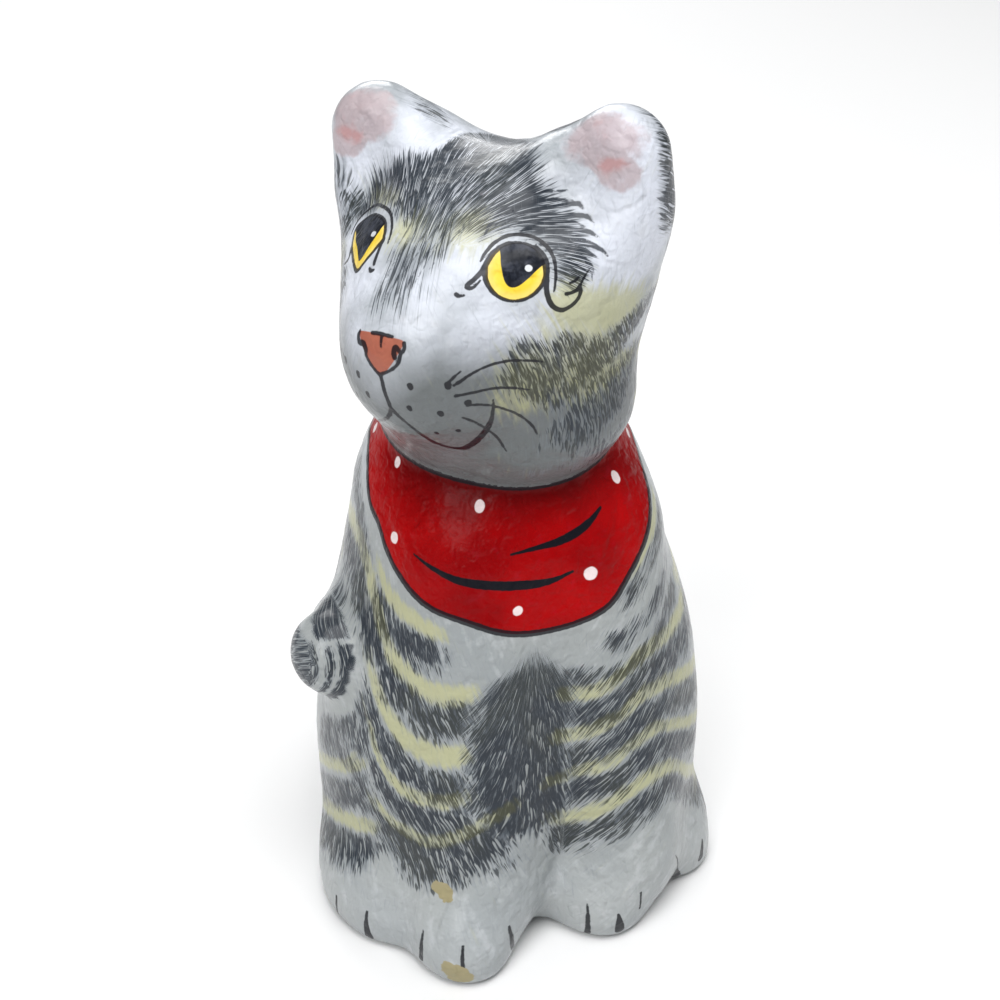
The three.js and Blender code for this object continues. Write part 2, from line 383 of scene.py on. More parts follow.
BROW_STROKES = [
    [(15.8, 29, 0.6), (16.6, 33, 1.1), (19, 37.6, 1.2), (22.6, 41, 1.1), (27.5, 43, 1),
     (34.6, 42.8, 0.3)],
    [(14.4, 31, 0.4), (15.6, 35.5, 0.7), (17.8, 40, 0.8), (21.5, 44.6, 0.3)],
    [(17.4, 31.4, 0.5), (20, 36, 1), (24.6, 39.6, 1.3), (30, 41.2, 1.2), (36.5, 40.3, 0.4)],
    [(19.6, 32.5, 0.6), (23.6, 36.4, 1.3), (28.6, 38.6, 1.5), (34, 39.5, 1.5), (37.8, 39.2, 1.1),
     (39.8, 37.3, 0.3)],
    [(22.4, 32.6, 0.8), (27, 35.6, 1.6), (32, 37, 1.7), (37, 36.8, 1.4), (40.6, 35.4, 1), (42.6, 33, 0.3)],
    [(24.6, 31.6, 0.8), (29, 34, 1.6), (34.4, 35.2, 1.6), (38.6, 34.4, 1), (41.2, 32.6, 0.3)],
    [(27.6, 31.2, 0.8), (32, 32.9, 1.6), (37.4, 32.8, 1.5), (41.8, 31.2, 1.1), (44.3, 28.5, 0.3)],
    [(30, 30.2, 0.6), (34.4, 30.9, 1.3), (39.4, 30.2, 1.3), (43, 28, 0.3)],
    [(30.8, 28.2, 0.5), (35.4, 28.9, 1.3), (40.4, 28.4, 1.6), (44, 26.4, 1.2), (46.9, 23.4, 0.2)],
    [(31.4, 26.4, 0.5), (36, 26.9, 1.1), (41, 26.4, 1.3), (44.6, 23.6, 0.3)],
    [(32.4, 24.6, 0.4), (36.6, 25, 0.9), (41, 24.5, 1.1), (43.8, 21.4, 0.7), (44.8, 18.8, 0.2)],
    [(33.2, 22.8, 0.4), (37, 23.2, 0.7), (41, 22.2, 0.8), (43, 19.6, 0.2)],
    [(42, 23.4, 0.7), (43.8, 20, 0.6), (44.6, 17.2, 0.2)], [(26.2, 29, 0.4), (28.2, 29.8, 0.3)],
    [(29.2, 28.2, 0.5), (31.4, 28.9, 0.3)], [(31.2, 26.2, 0.5), (33.6, 26.8, 0.3)],
    [(32.5, 24, 0.5), (34.8, 24.4, 0.3)], [(33.3, 21.6, 0.5), (35.2, 21.9, 0.3)],
]
BRIDGE_STROKES = [
    [(5, 42, 0.7), (3, 31, 0.6), (0, 20, 0.5), (-3.4, 11, 0.2)],
    [(8, 40, 0.6), (5, 28, 0.5), (1.8, 17, 0.4), (0.6, 10, 0.2)],
    [(2, 37, 0.6), (0, 27, 0.6), (-2.4, 19, 0.2)], [(-1.4, 38, 0.7), (-3, 27, 0.5), (-4.4, 16, 0.2)],
    [(12, 39, 0.5), (8.4, 28, 0.5), (5, 19, 0.2)], [(6.4, 31, 0.4), (4, 21, 0.5), (2.2, 13, 0.2)],
    [(-8.6, 42, 0.9), (-8, 35, 0.8), (-8.8, 30, 0.3)], [(-6, 36, 0.5), (-5.6, 27, 0.5), (-6.6, 19, 0.2)],
    [(-0.6, 25, 0.3), (-1.6, 17, 0.4), (-3, 9.5, 0.2)], [(3.2, 24, 0.3), (1, 15, 0.4), (-0.4, 9, 0.2)],
    [(14, 40, 0.7), (11, 33, 0.6), (8.6, 25, 0.2)], [(-4, 30, 0.3), (-4.2, 22, 0.5), (-5.4, 13, 0.2)],
]
WHISKERS = [
    [(13, -3.8, 0.5), (16, -2.1, 0.45), (19, -1, 0.45), (22.5, -0.7, 0.5), (26, -1.3, 0.5),
     (30.5, -2.9, 0.45), (33, -4, 0.25)],
    [(12, -3.1, 0.5), (13, -2.1, 0.4), (14.3, -1.1, 0.25)],
    [(13, -6.2, 0.6), (16, -6.2, 0.5), (19.5, -6.5, 0.5), (22.5, -7.4, 0.5), (25.5, -9.1, 0.45),
     (28.6, -11.3, 0.25)],
    [(14.8, -9.2, 0.6), (17.5, -10.1, 0.5), (20.5, -12.6, 0.5), (23.5, -16.4, 0.5), (25.8, -20.4, 0.5),
     (27.3, -24.3, 0.5), (27.6, -27, 0.3)],
    [(13.4, -12.3, 0.4), (15.5, -15.6, 0.45), (17, -19.6, 0.45), (18.2, -24, 0.45), (18.7, -28.5, 0.4),
     (18.9, -30, 0.2)],
]
# Each dot is drawn as a short stroke that runs down a little and narrows.
WHISKER_DOTS = [
    (5, -3.4, 1), (4.1, -8.3, 0.9), (9.6, -9.9, 1.1), (7.2, -15.9, 0.7), (11.4, -16.4, 0.8),
    (15, -8.4, 1.3), (11.8, -3.5, 1.2), (-6.9, -3.3, 1.1), (-5, -7, 1), (-12, -2.2, 0.9), (-10, -9.5, 1),
]
FACE_LINES = (
    LEFT_EYE_LINES + RIGHT_EYE_LINES + NOSE_LINES + MOUTH_LINES + WHISKERS + mirrored(WHISKERS)
    + [[(x, z, width), (x + 0.1, z - 0.5, 0.8 * width)] for x, z, width in WHISKER_DOTS]
)

# ---- The scarf and the paws, on the body chart -----------------------------------

# Rows of (angle, height), with a radius for a dot or a chip and a width for a stroke.
SCARF_EDGE = [
    (-180, 139), (-140, 138), (-110, 136), (-100, 135), (-90, 131), (-77, 123), (-68, 120), (-55, 112),
    (-43, 106), (-30, 103), (-17, 99), (-5, 97.6), (7, 98.6), (17, 102), (25, 109), (35, 117), (43, 123),
    (53, 129), (67, 135), (90, 138), (130, 140), (180, 139),
]
SCARF_DOTS = [
    (-68, 137, 1.5), (-27, 132, 1.5), (-58, 120, 1.5), (-14, 105, 1.3), (11, 112, 1.9), (31, 133, 1.6),
    (-99, 139, 1.5), (58, 138, 1.5), (84, 147, 1.5), (104, 159, 1.5), (122, 145, 1.5), (141, 162, 1.5),
    (158, 147, 1.5), (177, 164, 1.5), (-166, 149, 1.5), (-146, 163, 1.5), (-130, 147, 1.5),
    (-112, 156, 1.5),
]
SCARF_FOLDS = [
    [(-48, 118.5, 0.4), (-40, 116.2, 1), (-33, 114.3, 1.5), (-25, 113.2, 1.9), (-16, 112.2, 2),
     (-8, 111.6, 1.8), (-2, 111.8, 1.3), (5, 113.5, 0.5)],
    [(-16, 120.5, 0.4), (-8, 121.2, 0.9), (0, 121.8, 1.5), (7, 123.2, 1.7), (13, 125.2, 1.3),
     (19, 128, 0.5)],
]
CLAWS = [
    [(-64, 8.6, 0.7), (-64, 1, 0.9)], [(-53, 10.7, 0.5), (-53, 6, 1.2), (-52.5, 2, 2.2)],
    [(-37, 13, 0.4), (-37.2, 8, 0.9), (-37.4, 3.6, 1.1)], [(-27.5, 13, 0.5), (-27.3, 6.4, 0.9)],
    [(-17.5, 14, 0.5), (-16.8, 9, 0.9), (-16.4, 5, 0.8)],
    [(4.4, 12, 0.4), (4.2, 6, 0.9), (4.4, 1.4, 1.1)],
    [(11, 9, 0.5), (11.3, 5.5, 1.9), (11.6, 3, 2.2)], [(17.7, 13.6, 0.5), (17.4, 8, 0.6)],
    [(31, 18, 0.3), (33.5, 12.5, 0.8), (36.5, 7, 1.3), (39, 2, 2.3)],
    [(47.4, 10.7, 0.5), (46.6, 7.5, 1.5), (46, 5, 2)], [(60, 9.5, 0.5), (59, 5, 1.2), (58.5, 3, 1.5)],
]
CHIPS = [(-33, 23.6, 2.4), (-34.5, 23.9, 1.9), (-29, 5.5, 2.6), (-28, 3.6, 2.6), (-30, 7.2, 1.4)]
FOLD_BREADTH = 1.35
HEM_HALF_WIDTH = 0.9
HEM_REACH = 0.6      # how far past the scarf's edge its hem is drawn on the head
INK_SPREAD = 0.1     # how much wider the drawn lines are than their strokes
CLOTH_LAP = 0.9      # how fast the cloth ends where the neck passes into the head
# The cloth that is this near the head is in the chin's shade, from one angle to another.
CHIN_SHADOW, CHIN_SHADOW_SIDES = 11, (-85, 34, 24)

# ---- The painted fur -------------------------------------------------------------

# The fan over the eyes spreads from the bridge of the nose: for each angle from straight up,
# where the strokes start and where their tips end, in millimetres from the bridge. FAN_DEPTHS
# is how dark they may get at each such distance.
FAN_CENTRE_Z = 5
FAN_ANGLES = (-84, -75, -61, -45, -34, -25, -17, -13, -8, 0, 10, 18, 34, 40, 47, 53, 62, 70, 80)
FAN_ROOTS = (42, 42, 40, 36, 31, 26, 22, 21, 20, 20, 21, 22, 25, 31, 34, 37, 36, 35, 37)
FAN_TIPS = (44, 48, 52, 52.5, 51.5, 50, 51, 64, 76, 84, 66, 58, 50, 50, 50, 50, 49, 48, 43)
FAN_ROOT_FADE, FAN_TIP_FADE, FAN_SIDE_FADE = 9, 6, 8
FAN_DEPTHS = ((30, 0.7), (44, 0.95), (56, 0.85), (84, 0.8))
FAN_SWEEP = 0.022
FAN_SPREAD = 1.1
# On the right the strokes turn upright from this angle on, more and more over so many degrees.
UPRIGHT_FROM, UPRIGHT_OVER, UPRIGHT_SHARE = -8, 24, 0.6
BRIDGE_FOOT, BRIDGE_TOP, BRIDGE_HALF_WIDTH, BRIDGE_DEPTH = 5, 40, 7, 0.5
# How high the painted shade under the face starts, at each distance from its middle.
CHIN_MIDDLE, CHIN_FADE = -2, 20
CHIN_TOPS = ((0, 2), (5, 5), (12, 10), (25, 8), (40, 0), (70, -8))

# A cheek band is (its top edge, its foot, depth), the edges at each place of CHEEK_ACROSS.
CHEEK_ACROSS = (20, 25, 30, 35, 40, 45, 50, 55, 60, 65, 72)
CHEEK_BANDS = (
    ((-4, 4, 4.5, 4, 2, 0, -1, 1, 4, 8, 12), (-8, -12, -19, -23, -23, -19, -16, -13, -9, -3, 4), 0.82),
    ((-30, -30, -28, -24, -19, -16, -15, -15, -15, -13, -12),
     (-30, -31, -33, -36, -36, -35, -33, -30, -27, -22, -16), 0.72),
    ((-40, -40, -38, -36, -36, -37, -38, -38, -36, -33, -30),
     (-41, -41, -44, -47, -48, -47, -46, -44, -41, -37, -33), 0.5),
)
CHEEK_DEPTHS = ((20, 0.66), (40, 0.9), (60, 1))
# A patch of yellow is (share, centre, radii).
BROW_GOLD = ((1, (11, 31), (9, 8)), (1, (-6, 28), (6, 6)), (1, (-26, 36), (12, 4)))
CHEEK_GOLD = (
    (0.8, (27, -9), (7, 11)), (1, (50, 8), (15, 7)), (0.6, (39, 14), (5, 6)), (0.6, (58, -17), (13, 4)),
    (0.8, (46, -10), (14, 13)),
)
EAR_PATCH = ((34.5, -2, 40.5), (10.5, 9, 7))
EAR_SPOT = ((39.2, -2.6, 33), (6, 5, 4))
EAR_RIM_DARK = (0.95, 0.6)   # on the left ear and on the right
NAPE_BANDS, NAPE_TOP, NAPE_PITCH = 4, 14, 16   # counted down from the top

# How far the body's strokes lean for each millimetre of height, on its left and on its right.
LEFT_SLANT, RIGHT_SLANT = -0.8, 0.35
# A band is (its middle line, half height, depth, how far above it its yellow lies, the
# yellow's half height).
BODY_BANDS = [
    ([(-112, 130), (-95, 124), (-80, 115), (-68, 107)], 3.5, 0.62, 0, 0),
    ([(-66, 104), (-57, 98), (-48, 94.5), (-35, 91.5)], 3.6, 0.95, 6.5, 3.8),
    ([(-112, 106), (-92, 106), (-78, 104), (-66, 97), (-58, 89), (-52, 82), (-45, 77.5), (-38, 75),
      (-30, 75), (-25, 77)], 4.2, 0.95, 6.8, 4.6),
    ([(-61, 79), (-55, 69), (-50, 63), (-44, 58), (-38, 56), (-32, 56), (-26, 58)], 4.2, 0.95, 8.4, 5),
    ([(-59, 65), (-54, 54), (-48, 46), (-42, 43.5), (-35, 43.5), (-27, 46.5)], 3.8, 0.92, 6.8, 3.8),
    ([(-57, 38), (-48, 32), (-41, 30), (-35, 31.5), (-28, 35.5), (-21, 40), (-14, 43)],
     5.8, 0.9, 6.5, 3.4),
    ([(-100, 9), (-85, 16), (-72, 21), (-62, 24), (-54, 27)], 3.8, 0.95, 7.4, 4),
    ([(-98, 23), (-86, 30), (-76, 35), (-66, 40), (-57, 47)], 4.6, 0.95, 9, 3.2),
    ([(-88, 48), (-77, 53), (-68, 58), (-60, 67)], 6, 0.66, -9, 3),
    ([(-2, 82), (6, 82.5), (13, 81.5), (19, 82), (25, 84.5), (33, 88), (42, 92), (54, 96)], 2, 0.8, 0, 0),
    ([(-4, 72), (5, 70.5), (11, 71), (17, 73.5), (23, 77), (31, 79), (42, 79), (60, 82)],
     3.6, 0.95, 6.6, 3.6),
    ([(-5, 58), (5, 58), (11, 59.5), (17, 62), (24, 66), (34, 66), (45, 63), (60, 60)],
     3.8, 0.95, 6.9, 3.6),
    ([(-8, 45), (0, 45), (6, 47), (13, 49), (20, 53), (28, 55), (36, 52), (46, 47), (60, 42)],
     3.8, 0.95, 6.4, 3.2),
    ([(-6, 33.5), (2, 31.5), (8, 33.5), (15, 37.5), (22, 41), (30, 41.5), (37, 37.5), (43, 31.5), (52, 25),
      (66, 17), (84, 13)], 3.4, 0.95, 6.4, 4),
    ([(12, 91.5), (22, 92.5), (32, 96), (42, 101), (54, 106)], 1.7, 0.66, 0, 0),
    ([(20, 101), (30, 107), (40, 113), (52, 119)], 2.4, 0.62, 5, 3),
]
# How far a band's strokes reach past its half height, above and below, and over how much they
# thin out there.
BAND_ABOVE, BAND_BELOW, BAND_FADES = 2.6, 5.4, (5, 8.5)
MOTTLES = (
    ((-60, 62), (4, 16)), ((-58, 42), (5, 9)), ((-66, 52), (8, 5)), ((-30, 33), (14, 5)),
    ((-84, 88), (9, 12)),
)
MOTTLE_DEPTH = 0.72

# The dark patch down the chest: its middle, the height at which its strokes meet above it, how
# fast they open below that, and its width to either side at each height.
CHEST_ANGLE, CHEST_TOP, CHEST_OPENING = -9, 106, 1.5
CHEST_HEIGHTS = (34, 40, 45, 50, 60, 72, 80, 85, 90, 95)
CHEST_LEFT = (2, 8, 8, 8, 8.5, 10, 10, 8, 4, 0)
CHEST_RIGHT = (2, 8, 11, 15, 16, 16, 15, 10, 5, 0)

# The bands round the flanks and the back, counted from the foot.
FLANK_BANDS, FLANK_FOOT, FLANK_PITCH, FLANK_CLIMB = 6, 22, 18.5, 0.1
FLANK_START = ((1, 55), (-1, 97))   # (side, degrees from the front where they begin)
FLANK_ABOVE, FLANK_BELOW, FLANK_FADES = 6.3, 9, (4.5, 8.5)
FLANK_GOLD_RISE, FLANK_GOLD_HALF = 8.4, 3.6
SPINE_HALF_WIDTH = 8.6

TAIL_SEAM = 0.4    # how much nearer than the body the tail is where its own paint begins
TAIL_ROUND = 10    # millimetres round the tail for each radian
TAIL_RING_PITCH, TAIL_RINGS_END = 15, 12
TAIL_TIP_RADIUS = 17
TAIL_TIP_SIDE = (0.94, -0.34, 0)   # the way sideways across the stripes on the tail's tip
TAIL_OUTER_SIDE = -4.5             # past this the strokes lie round the tip, not upright
# How dark the stripes on the tail's tip are: (millimetres to one side of its middle, depth).
TAIL_STRIPES = (
    (-20, 0.66), (-3, 0.66), (-2, 0.1), (-0.6, 0.1), (0, 0.95), (1.2, 0.95), (1.8, 0.1), (3, 0.1),
    (3.6, 1), (7.6, 1), (8.2, 0.1), (9, 0.7), (9.6, 0),
)
# The dark patch on the tip lies this far above its middle, and from one side to the other.
TAIL_PATCH_FOOT, TAIL_PATCH_SIDES = 8.3, (-3, 9, 1.5)


class Coat:
    """Which way the painted fur lies at each point, and how dark and how yellow it is."""

    def __init__(self, across, along):
        self.across, self.along = across, along
        self.dark, self.yellow = np.zeros(len(across)), np.zeros(len(across))

    def comb(self, where, across, along):
        """Lets the fur lie another way."""
        self.across = np.where(where, across, self.across)
        self.along = np.where(where, along, self.along)

    def stain(self, dark, yellow):
        """Adds dark and yellow where the fur already lies as it should."""
        self.dark = np.maximum(self.dark, np.clip(dark, 0, 1))
        self.yellow = np.maximum(self.yellow, np.clip(yellow, 0, 1))

    def lay(self, across, along, dark, yellow=0.0):
        """Adds strokes, which lie their own way where they are the darkest so far."""
        self.stain(dark, yellow)
        self.comb((np.clip(dark, 0, 1) >= self.dark) & (dark > 0), across, along)


def between(value, low, high, fade):
    """One inside the range, falling to nothing over the fade at each end of it."""
    return np.clip(np.minimum(value - low, high - value) / fade, 0, 1)


def stripe(aside, half):
    """One on a line, falling to nothing at 1.4 times half to its sides."""
    return np.clip(1.4 - np.abs(aside) / half, 0, 1)


def band(drop, above, below, fades):
    """How dark a band is at a height over its middle line, before it is held to its depth."""
    return np.minimum((above - drop) / fades[0], (below + drop) / fades[1])


def gold_beside(drop, rise, half):
    """The yellow along a band, at a height over the band's middle line."""
    return np.clip((1 - np.abs(drop - rise) / half) * 1.3, 0, 0.85)


def blob(x, z, centre, radii):
    return np.exp(-(((x - centre[0]) / radii[0]) ** 2 + ((z - centre[1]) / radii[1]) ** 2))


def patches(x, z, rows):
    return sum(share * blob(x, z, centre, radii) for share, centre, radii in rows)


def wave(size, angle):
    return size * np.sin(np.radians(angle))


def brow_fan(coat, tuft, x, z, on_head):
    """The dark fan over the eyes and the thin strokes down the bridge of the nose."""
    reach = np.hypot(x, z - FAN_CENTRE_Z)
    angle = np.degrees(np.arctan2(x, z - FAN_CENTRE_Z))
    roots, tips = (np.interp(angle, FAN_ANGLES, row) for row in (FAN_ROOTS, FAN_TIPS))
    dark = np.minimum((reach - roots) / FAN_ROOT_FADE, (tips + 1 - reach) / FAN_TIP_FADE)
    dark *= between(angle, FAN_ANGLES[0], FAN_ANGLES[-1], FAN_SIDE_FADE)
    dark = np.minimum(dark, np.interp(reach, *zip(*FAN_DEPTHS)))
    across = FAN_SPREAD * angle * np.exp(-FAN_SWEEP * (reach - 40))
    upright = np.clip((UPRIGHT_FROM - angle) / UPRIGHT_OVER, 0, 1) * UPRIGHT_SHARE
    across += upright * (1.3 * x - across)
    coat.lay(across, reach * 0.7, dark * on_head, patches(x, z, BROW_GOLD) * 0.75 * on_head)
    bridge = between(z, BRIDGE_FOOT, BRIDGE_TOP, 8) * BRIDGE_DEPTH
    bridge *= stripe(x - 0.5 + 0.1 * (20 - z), BRIDGE_HALF_WIDTH)
    tuft.lay(x * 1.3 + 0.15 * z, z * 0.45, bridge * on_head)


def painted_face_shade(x, z):
    """Painted shade: greyer ground under the nose and on the lower cheeks."""
    top = np.interp(np.abs(x - CHIN_MIDDLE), *zip(*CHIN_TOPS))
    return np.clip((top - z) / CHIN_FADE, 0, 1)


def cheeks(coat, tuft, x, z, on_head):
    """Bands round the cheeks, and loose strokes under the right eye and on its temple."""
    out = np.abs(x)
    across = out + 0.3 * z + 0.012 * (z + 5) ** 2
    coat.comb((on_head > 0) & (z < 22 - 0.2 * out), across + 50 * np.sign(x), -z)
    here = on_head * between(out, 18, 80, 6) * np.interp(out, *zip(*CHEEK_DEPTHS))
    for tops, feet, depth in CHEEK_BANDS:
        top, foot = (np.interp(out, CHEEK_ACROSS, row) for row in (tops, feet))
        coat.stain(np.clip(band(z, top + 3, 4 - foot, (7, 9)), 0, depth) * here, 0)
    coat.stain(0, patches(out, z, CHEEK_GOLD) * on_head)
    under_eye = between(x, -52, -18, 6) * between(z + 0.35 * (x + 30), 2, 18, 5)
    tuft.lay(z + 0.42 * x, -x, under_eye * 0.62 * on_head)
    temple = between(x, -58, -37, 5) * between(z, 12, 40, 7)
    tuft.lay(x - 0.3 * z, -z, temple * 0.55 * on_head)


def ears_and_nape(coat, tuft, in_head, on_head):
    """Dark rims behind the ears, bands round the back of the head and a line down the nape."""
    aside, height = np.abs(in_head[:, 0]), in_head[:, 2]
    turned = np.degrees(np.arctan2(aside, FACE_CENTRE[1] - in_head[:, 1]))
    rim = np.clip(np.minimum((turned - 88) / 9, (126 - turned) / 22), 0, 1) * between(height, 14, 48, 8)
    rim *= np.where(in_head[:, 0] > 0, *EAR_RIM_DARK) * np.clip((aside - 10) / 10, 0, 1)
    tuft.lay(height + 0.35 * turned, turned * 0.6, rim * on_head)
    behind = on_head * between(turned, 96, 176, 12)
    coat.comb(behind > 0, turned * 0.65 + 0.3 * height, -height)
    for k in range(NAPE_BANDS):
        drop = height - NAPE_TOP + NAPE_PITCH * k - 0.12 * (turned - 140) + wave(2.4, turned * 6 + 100 * k)
        coat.stain(band(drop, 6, 8, (5, 8)) * behind * (np.abs(drop) < 9),
                   (1.3 - np.abs(drop - 8) / 4) * 0.8 * behind)
    nape = stripe(aside, 8) * (in_head[:, 1] > 10) * between(height, -46, 34, 8)
    tuft.lay(4 * np.sqrt(aside) + 0.4 * height, -height, nape * 0.9 * on_head)


def ear_pink(in_head):
    """How pink the skin is inside the ears, more than one in the redder spot."""
    folded = np.column_stack([np.abs(in_head[:, 0]), in_head[:, 1:]])
    patch, spot = (1.2 - np.linalg.norm((folded - place) / size, axis=1)
                   for place, size in (EAR_PATCH, EAR_SPOT))
    return np.clip(patch * 2.2, 0, 1) + np.clip(spot * 2.5, 0, 1)


def body_fur(coat, tuft, angle, z, on_body):
    """The front's bands and their yellow, a few mottles, and the dark patch down the chest."""
    for route, half, depth, rise, gold_half in BODY_BANDS:
        path = smooth_path(route)
        drop = z - np.interp(angle, path[:, 0], path[:, 1])
        ends = between(angle, route[0][0] - 3, route[-1][0] + 3, 7) * on_body
        dark = np.clip(band(drop, half + BAND_ABOVE, half + BAND_BELOW, BAND_FADES), 0, depth)
        gold = gold_beside(drop, rise, gold_half) if gold_half else 0
        coat.stain(dark * ends, gold * ends)
    for centre, radii in MOTTLES:
        coat.stain(MOTTLE_DEPTH * blob(angle, z, centre, radii) * on_body, 0)
    aside = (angle - CHEST_ANGLE) * DEGREE
    left, right = (np.interp(z, CHEST_HEIGHTS, row) for row in (CHEST_LEFT, CHEST_RIGHT))
    chest = np.clip((np.where(aside > 0, left, right) + 3.5 - np.abs(aside)) / 7, 0, 1)
    chest *= np.clip((97 - z) / 13, 0, 1) * np.clip((z - 33) / 8, 0, 1)
    across = 2.3 * aside * (30 / np.maximum(CHEST_TOP - z, 8)) ** CHEST_OPENING
    tuft.lay(across, -z, chest * on_body)


def flank_fur(coat, tuft, p, angle, z, on_body):
    """The sides and the back: bands that climb to a dark line down the spine."""
    for side, start in FLANK_START:
        out = angle * side
        for k in range(FLANK_BANDS):
            sag = wave(3.2, 90 + (out - 104 - 6 * side) * 7) + wave(1.6, out * 11 + 130 * k)
            drop = z - FLANK_FOOT - FLANK_PITCH * k - FLANK_CLIMB * (out - 110) + sag
            girth = wave(1.3, out * 5 + 75 * k + 40 * side)
            ends = between(out, start - 4 + 9 * (k % 2), 179, 10) * on_body
            dark = np.clip(band(drop, FLANK_ABOVE + girth, FLANK_BELOW + girth, FLANK_FADES), 0, 0.95)
            coat.stain(dark * ends, gold_beside(drop, FLANK_GOLD_RISE, FLANK_GOLD_HALF - girth) * ends)
    half = SPINE_HALF_WIDTH + 2.2 * np.sin(z * 0.17) + 0.9 * np.sin(z * 0.41)
    spine = np.clip((half - np.abs(p[:, 0] + 1.2 * np.sin(z * 0.09))) / 6, 0, 0.95)
    tuft.lay(p[:, 0] + 0.1 * z, -z, spine * (p[:, 1] > 10) * between(z, 13, 141, 6) * on_body)


def tail_chart(p):
    """How far along the tail and how far round it each point is, and the tail's length."""
    places = np.array([place for place, _ in TAIL], float)
    travelled, nearest = 0.0, np.full(len(p), np.inf)
    along, around = np.zeros(len(p)), np.zeros(len(p))
    for start, end in zip(places, places[1:]):
        way = end - start
        length = np.linalg.norm(way)
        share = np.clip((p - start) @ way / length ** 2, 0, 1)
        out = p - start - share[:, None] * way
        away = np.linalg.norm(out, axis=1)
        turned = np.arctan2(out @ np.cross(way / length, (0, 0, 1)), out[:, 2]) * TAIL_ROUND
        closer = away < nearest
        along = np.where(closer, travelled + share * length, along)
        around = np.where(closer, turned, around)
        nearest = np.minimum(nearest, away)
        travelled += length
    return along, around, travelled


def tail_fur(tuft, p, on_tail):
    """Rings round the tail, and upright stripes under a dark patch on its tip."""
    along, around, length = tail_chart(p)
    ring = np.clip(1.6 - 6 * np.abs(np.mod(along / TAIL_RING_PITCH, 1) - 0.5), 0, 0.9)
    ring *= np.clip((length - TAIL_RINGS_END - along) / 3, 0, 1)
    tuft.lay(1.2 * along, around, ring * on_tail)
    tip = p - TAIL[-1][0]
    side = tip @ TAIL_TIP_SIDE + 0.04 * (tip[:, 2] - 2) ** 2
    over_foot = tip[:, 2] - TAIL_PATCH_FOOT
    patch = between(side, *TAIL_PATCH_SIDES) * 0.9
    stripes = np.interp(side, *zip(*TAIL_STRIPES))
    dark = np.where(over_foot > 0, patch, stripes) * np.clip(np.abs(over_foot) / 0.9, 0, 1)
    close = np.clip((TAIL_TIP_RADIUS - np.linalg.norm(tip, axis=1)) / 2.5, 0, 1) * on_tail
    outer = side < TAIL_OUTER_SIDE
    across = np.where(outer, 1.3 * tip[:, 2] + 0.7 * tip[:, 1], 1.3 * side)
    tuft.lay(across, np.where(outer, tip[:, 1], tip[:, 2]), dark * close)


# ---- Everything that is painted, point by point ----------------------------------

def scarf_distance(angle, height, body, head, on_body, on_head):
    """How far outside the scarf a point is: over its edge on the body, above it on the head."""
    edge = smooth_path(SCARF_EDGE)
    rim = np.interp(angle, edge[:, 0], edge[:, 1])
    climb = np.interp(angle, edge[:, 0], np.gradient(edge[:, 1], edge[:, 0])) / EDGE_DEGREE
    below = (rim - height) / np.sqrt(1 + climb ** 2)
    cloth = np.where(on_body > 0, np.maximum(below, body - head), FAR)
    cloth = np.where(on_head > 0, np.maximum((body - head) * CLOTH_LAP, 0.01), cloth)
    return np.clip(cloth, -FAR, FAR)


def chart_paint(p):
    """The painting's distances in millimetres, negative inside, and the fur's shares from 0 to 1."""
    body, head, tail = body_distance(p), head_distance(p), tail_distance(p)
    on_head = (head < np.minimum(body, tail)).astype(float)
    on_tail = ((tail < body - TAIL_SEAM) & (tail < head)).astype(float)
    on_body = (1 - on_head) * (1 - on_tail)
    x, z = face_chart(p)
    angle, height = body_chart(p)
    in_head = into_head(p)

    def face(distance):
        return np.where(on_head > 0, distance, FAR)

    cloth = scarf_distance(angle, height, body, head, on_body, on_head)
    folds = body_stroke_distance(angle, height, SCARF_FOLDS, FOLD_BREADTH)
    claws = body_stroke_distance(angle, height, CLAWS)
    ink = np.where(on_head > 0, stroke_distance(x, z, FACE_LINES) - INK_SPREAD, claws)
    hem = np.abs(cloth) - HEM_HALF_WIDTH
    ink = np.minimum(ink, np.where((on_body > 0) | (cloth < HEM_REACH), hem, FAR))

    across = angle * DEGREE
    slant = np.where(angle > 0, LEFT_SLANT, RIGHT_SLANT)
    coat = Coat(np.where(on_head > 0, 1.1 * x, across + slant * height), -np.where(on_head > 0, z, height))
    tuft = Coat(across, -height)
    brow_fan(coat, tuft, x, z, on_head)
    cheeks(coat, tuft, x, z, on_head)
    ears_and_nape(coat, tuft, in_head, on_head)
    bare = on_body * np.clip(cloth / 1.5, 0, 1)
    body_fur(coat, tuft, angle, height, bare)
    flank_fur(coat, tuft, p, angle, height, bare)
    tail_fur(tuft, p, on_tail)

    # Painted shadow of the chin on the cloth near the head.
    painted_chin_shadow = np.clip(1 - (head - np.minimum(body, 0)) / CHIN_SHADOW, 0, 1)
    painted_chin_shadow *= on_body * between(angle, *CHIN_SHADOW_SIDES)
    eyes = np.minimum(area_distance(x, z, LEFT_EYE), area_distance(x, z, RIGHT_EYE))
    pupils = np.minimum(area_distance(x, z, LEFT_PUPIL), area_distance(x, z, RIGHT_PUPIL))
    brow, bridge = (face(stroke_distance(x, z, strokes)) for strokes in (BROW_STROKES, BRIDGE_STROKES))
    return {
        "coat": (coat.across, coat.along, coat.dark),
        "wash": (coat.yellow, ear_pink(in_head) * on_head, spots_distance(angle, height, CHIPS, DEGREE)),
        "scarf": (cloth, spots_distance(angle, height, SCARF_DOTS, DOT_DEGREE),
                  np.where(on_body > 0, folds, FAR)),
        "eyes": (face(eyes), face(pupils), face(stroke_distance(x, z, EYE_GLINTS))),
        # The third value of lines is the painted shade under the face.
        "lines": (ink, face(area_distance(x, z, NOSE)), painted_face_shade(x, z) * on_head),
        # The third value of brow is the painted shadow of the chin on the scarf.
        "brow": (brow, bridge, painted_chin_shadow),
        "tuft": (tuft.across, tuft.along, tuft.dark),
    }


